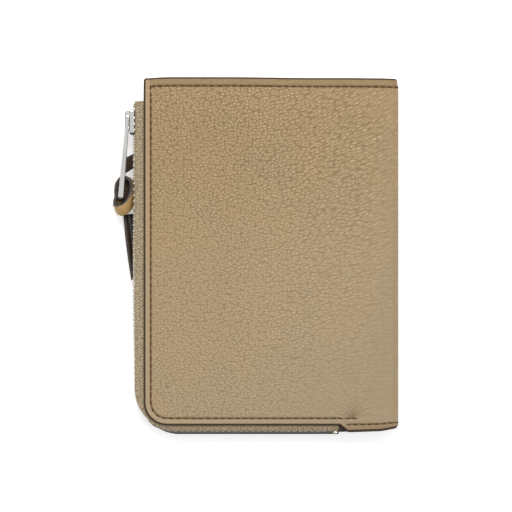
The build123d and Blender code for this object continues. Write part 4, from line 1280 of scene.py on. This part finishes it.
class WALLET_OT_stage(bpy.types.Operator):
    """Set the floor, the camera and the lights"""
    bl_idname = "wallet.stage"
    bl_label = "Stage"

    def execute(self, context):
        scene = context.scene
        paper = made("Matt white paper", studio_sweep, None)
        floor = mesh_piece("floor", [(-FLOOR, -FLOOR, 0), (FLOOR, -FLOOR, 0), (FLOOR, FLOOR, 0),
                                     (-FLOOR, FLOOR, 0)], [(0, 1, 2, 3)], paper, smooth=False)

        lens = bpy.data.cameras.new("camera")
        lens.sensor_width = 36.0
        lens.lens = lens.sensor_width * CAMERA_RISE / VIEW_WIDTH
        lens.clip_start, lens.clip_end = 0.05, 10.0
        camera = bpy.data.objects.new("camera", lens)
        camera.location = [value * MM for value in (*CAMERA_AT, CAMERA_RISE + WALLET_TOP)]
        scene.collection.objects.link(camera)
        scene.camera = camera

        for name, place, across, power in LAMPS:
            lamp = bpy.data.lights.new(name, "AREA")
            lamp.shape = "DISK"
            lamp.size = across
            lamp.energy = power
            spot = bpy.data.objects.new(name, lamp)
            spot.location = place
            spot.rotation_euler = (-Vector(place)).to_track_quat("-Z", "Y").to_euler()
            scene.collection.objects.link(spot)

        world = bpy.data.worlds.new("studio")
        world.use_nodes = True
        tree = world.node_tree
        tree.nodes.clear()
        # what polished metal mirrors is bright overhead and dark near the horizon
        facing = add(tree, "ShaderNodeSeparateXYZ", (add(tree, COORDINATES).outputs["Object"],))
        mirrored = add(tree, RANGE, (facing.outputs[2], 0.68, 0.98, 0.03, 0.88))
        glossy = add(tree, "ShaderNodeLightPath").outputs["Is Glossy Ray"]
        level = add(tree, MIX, {"Factor": glossy, "A": 0.54, "B": mirrored})
        glow = add(tree, "ShaderNodeBackground", ((1.0, 1.0, 1.0, 1.0), level))
        add(tree, "ShaderNodeOutputWorld", (glow,))
        scene.world = world
        scene.view_settings.view_transform = "Standard"
        return {"FINISHED"}


class VIEW3D_PT_wallet(bpy.types.Panel):
    """Lists the wallet's settings and its pieces"""
    bl_idname = "VIEW3D_PT_wallet"
    bl_label = "Folding zip wallet"
    bl_space_type = "VIEW_3D"
    bl_region_type = "UI"
    bl_category = "Wallet"

    def draw(self, context):
        for group in ("wallet_leather", "wallet_zip", "wallet_thong"):
            settings = getattr(context.scene, group)
            box = self.layout.box()
            for key in settings.__annotations__:
                box.prop(settings, key)
        for operator in OPERATORS:
            self.layout.operator(operator.bl_idname)


OPERATORS = (WALLET_OT_covers, WALLET_OT_stitching, WALLET_OT_inside, WALLET_OT_zip,
             WALLET_OT_slider, WALLET_OT_thong, WALLET_OT_stage)
SETTINGS = {"wallet_leather": WalletLeatherSettings, "wallet_zip": WalletZipSettings,
            "wallet_thong": WalletThongSettings}


def register():
    for name, group in SETTINGS.items():
        bpy.utils.register_class(group)
        setattr(bpy.types.Scene, name, bpy.props.PointerProperty(type=group))
    for item in (*OPERATORS, VIEW3D_PT_wallet):
        bpy.utils.register_class(item)


def unregister():
    for item in (VIEW3D_PT_wallet, *reversed(OPERATORS)):
        bpy.utils.unregister_class(item)
    for name, group in SETTINGS.items():
        delattr(bpy.types.Scene, name)
        bpy.utils.unregister_class(group)


def main():
    """Registers the add-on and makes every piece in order."""
    register()
    bpy.ops.wallet.stage()
    bpy.ops.wallet.covers()
    bpy.ops.wallet.stitching()
    bpy.ops.wallet.inside()
    bpy.ops.wallet.zip()
    bpy.ops.wallet.slider()
    bpy.ops.wallet.thong()


if __name__ == "__main__":
    main()
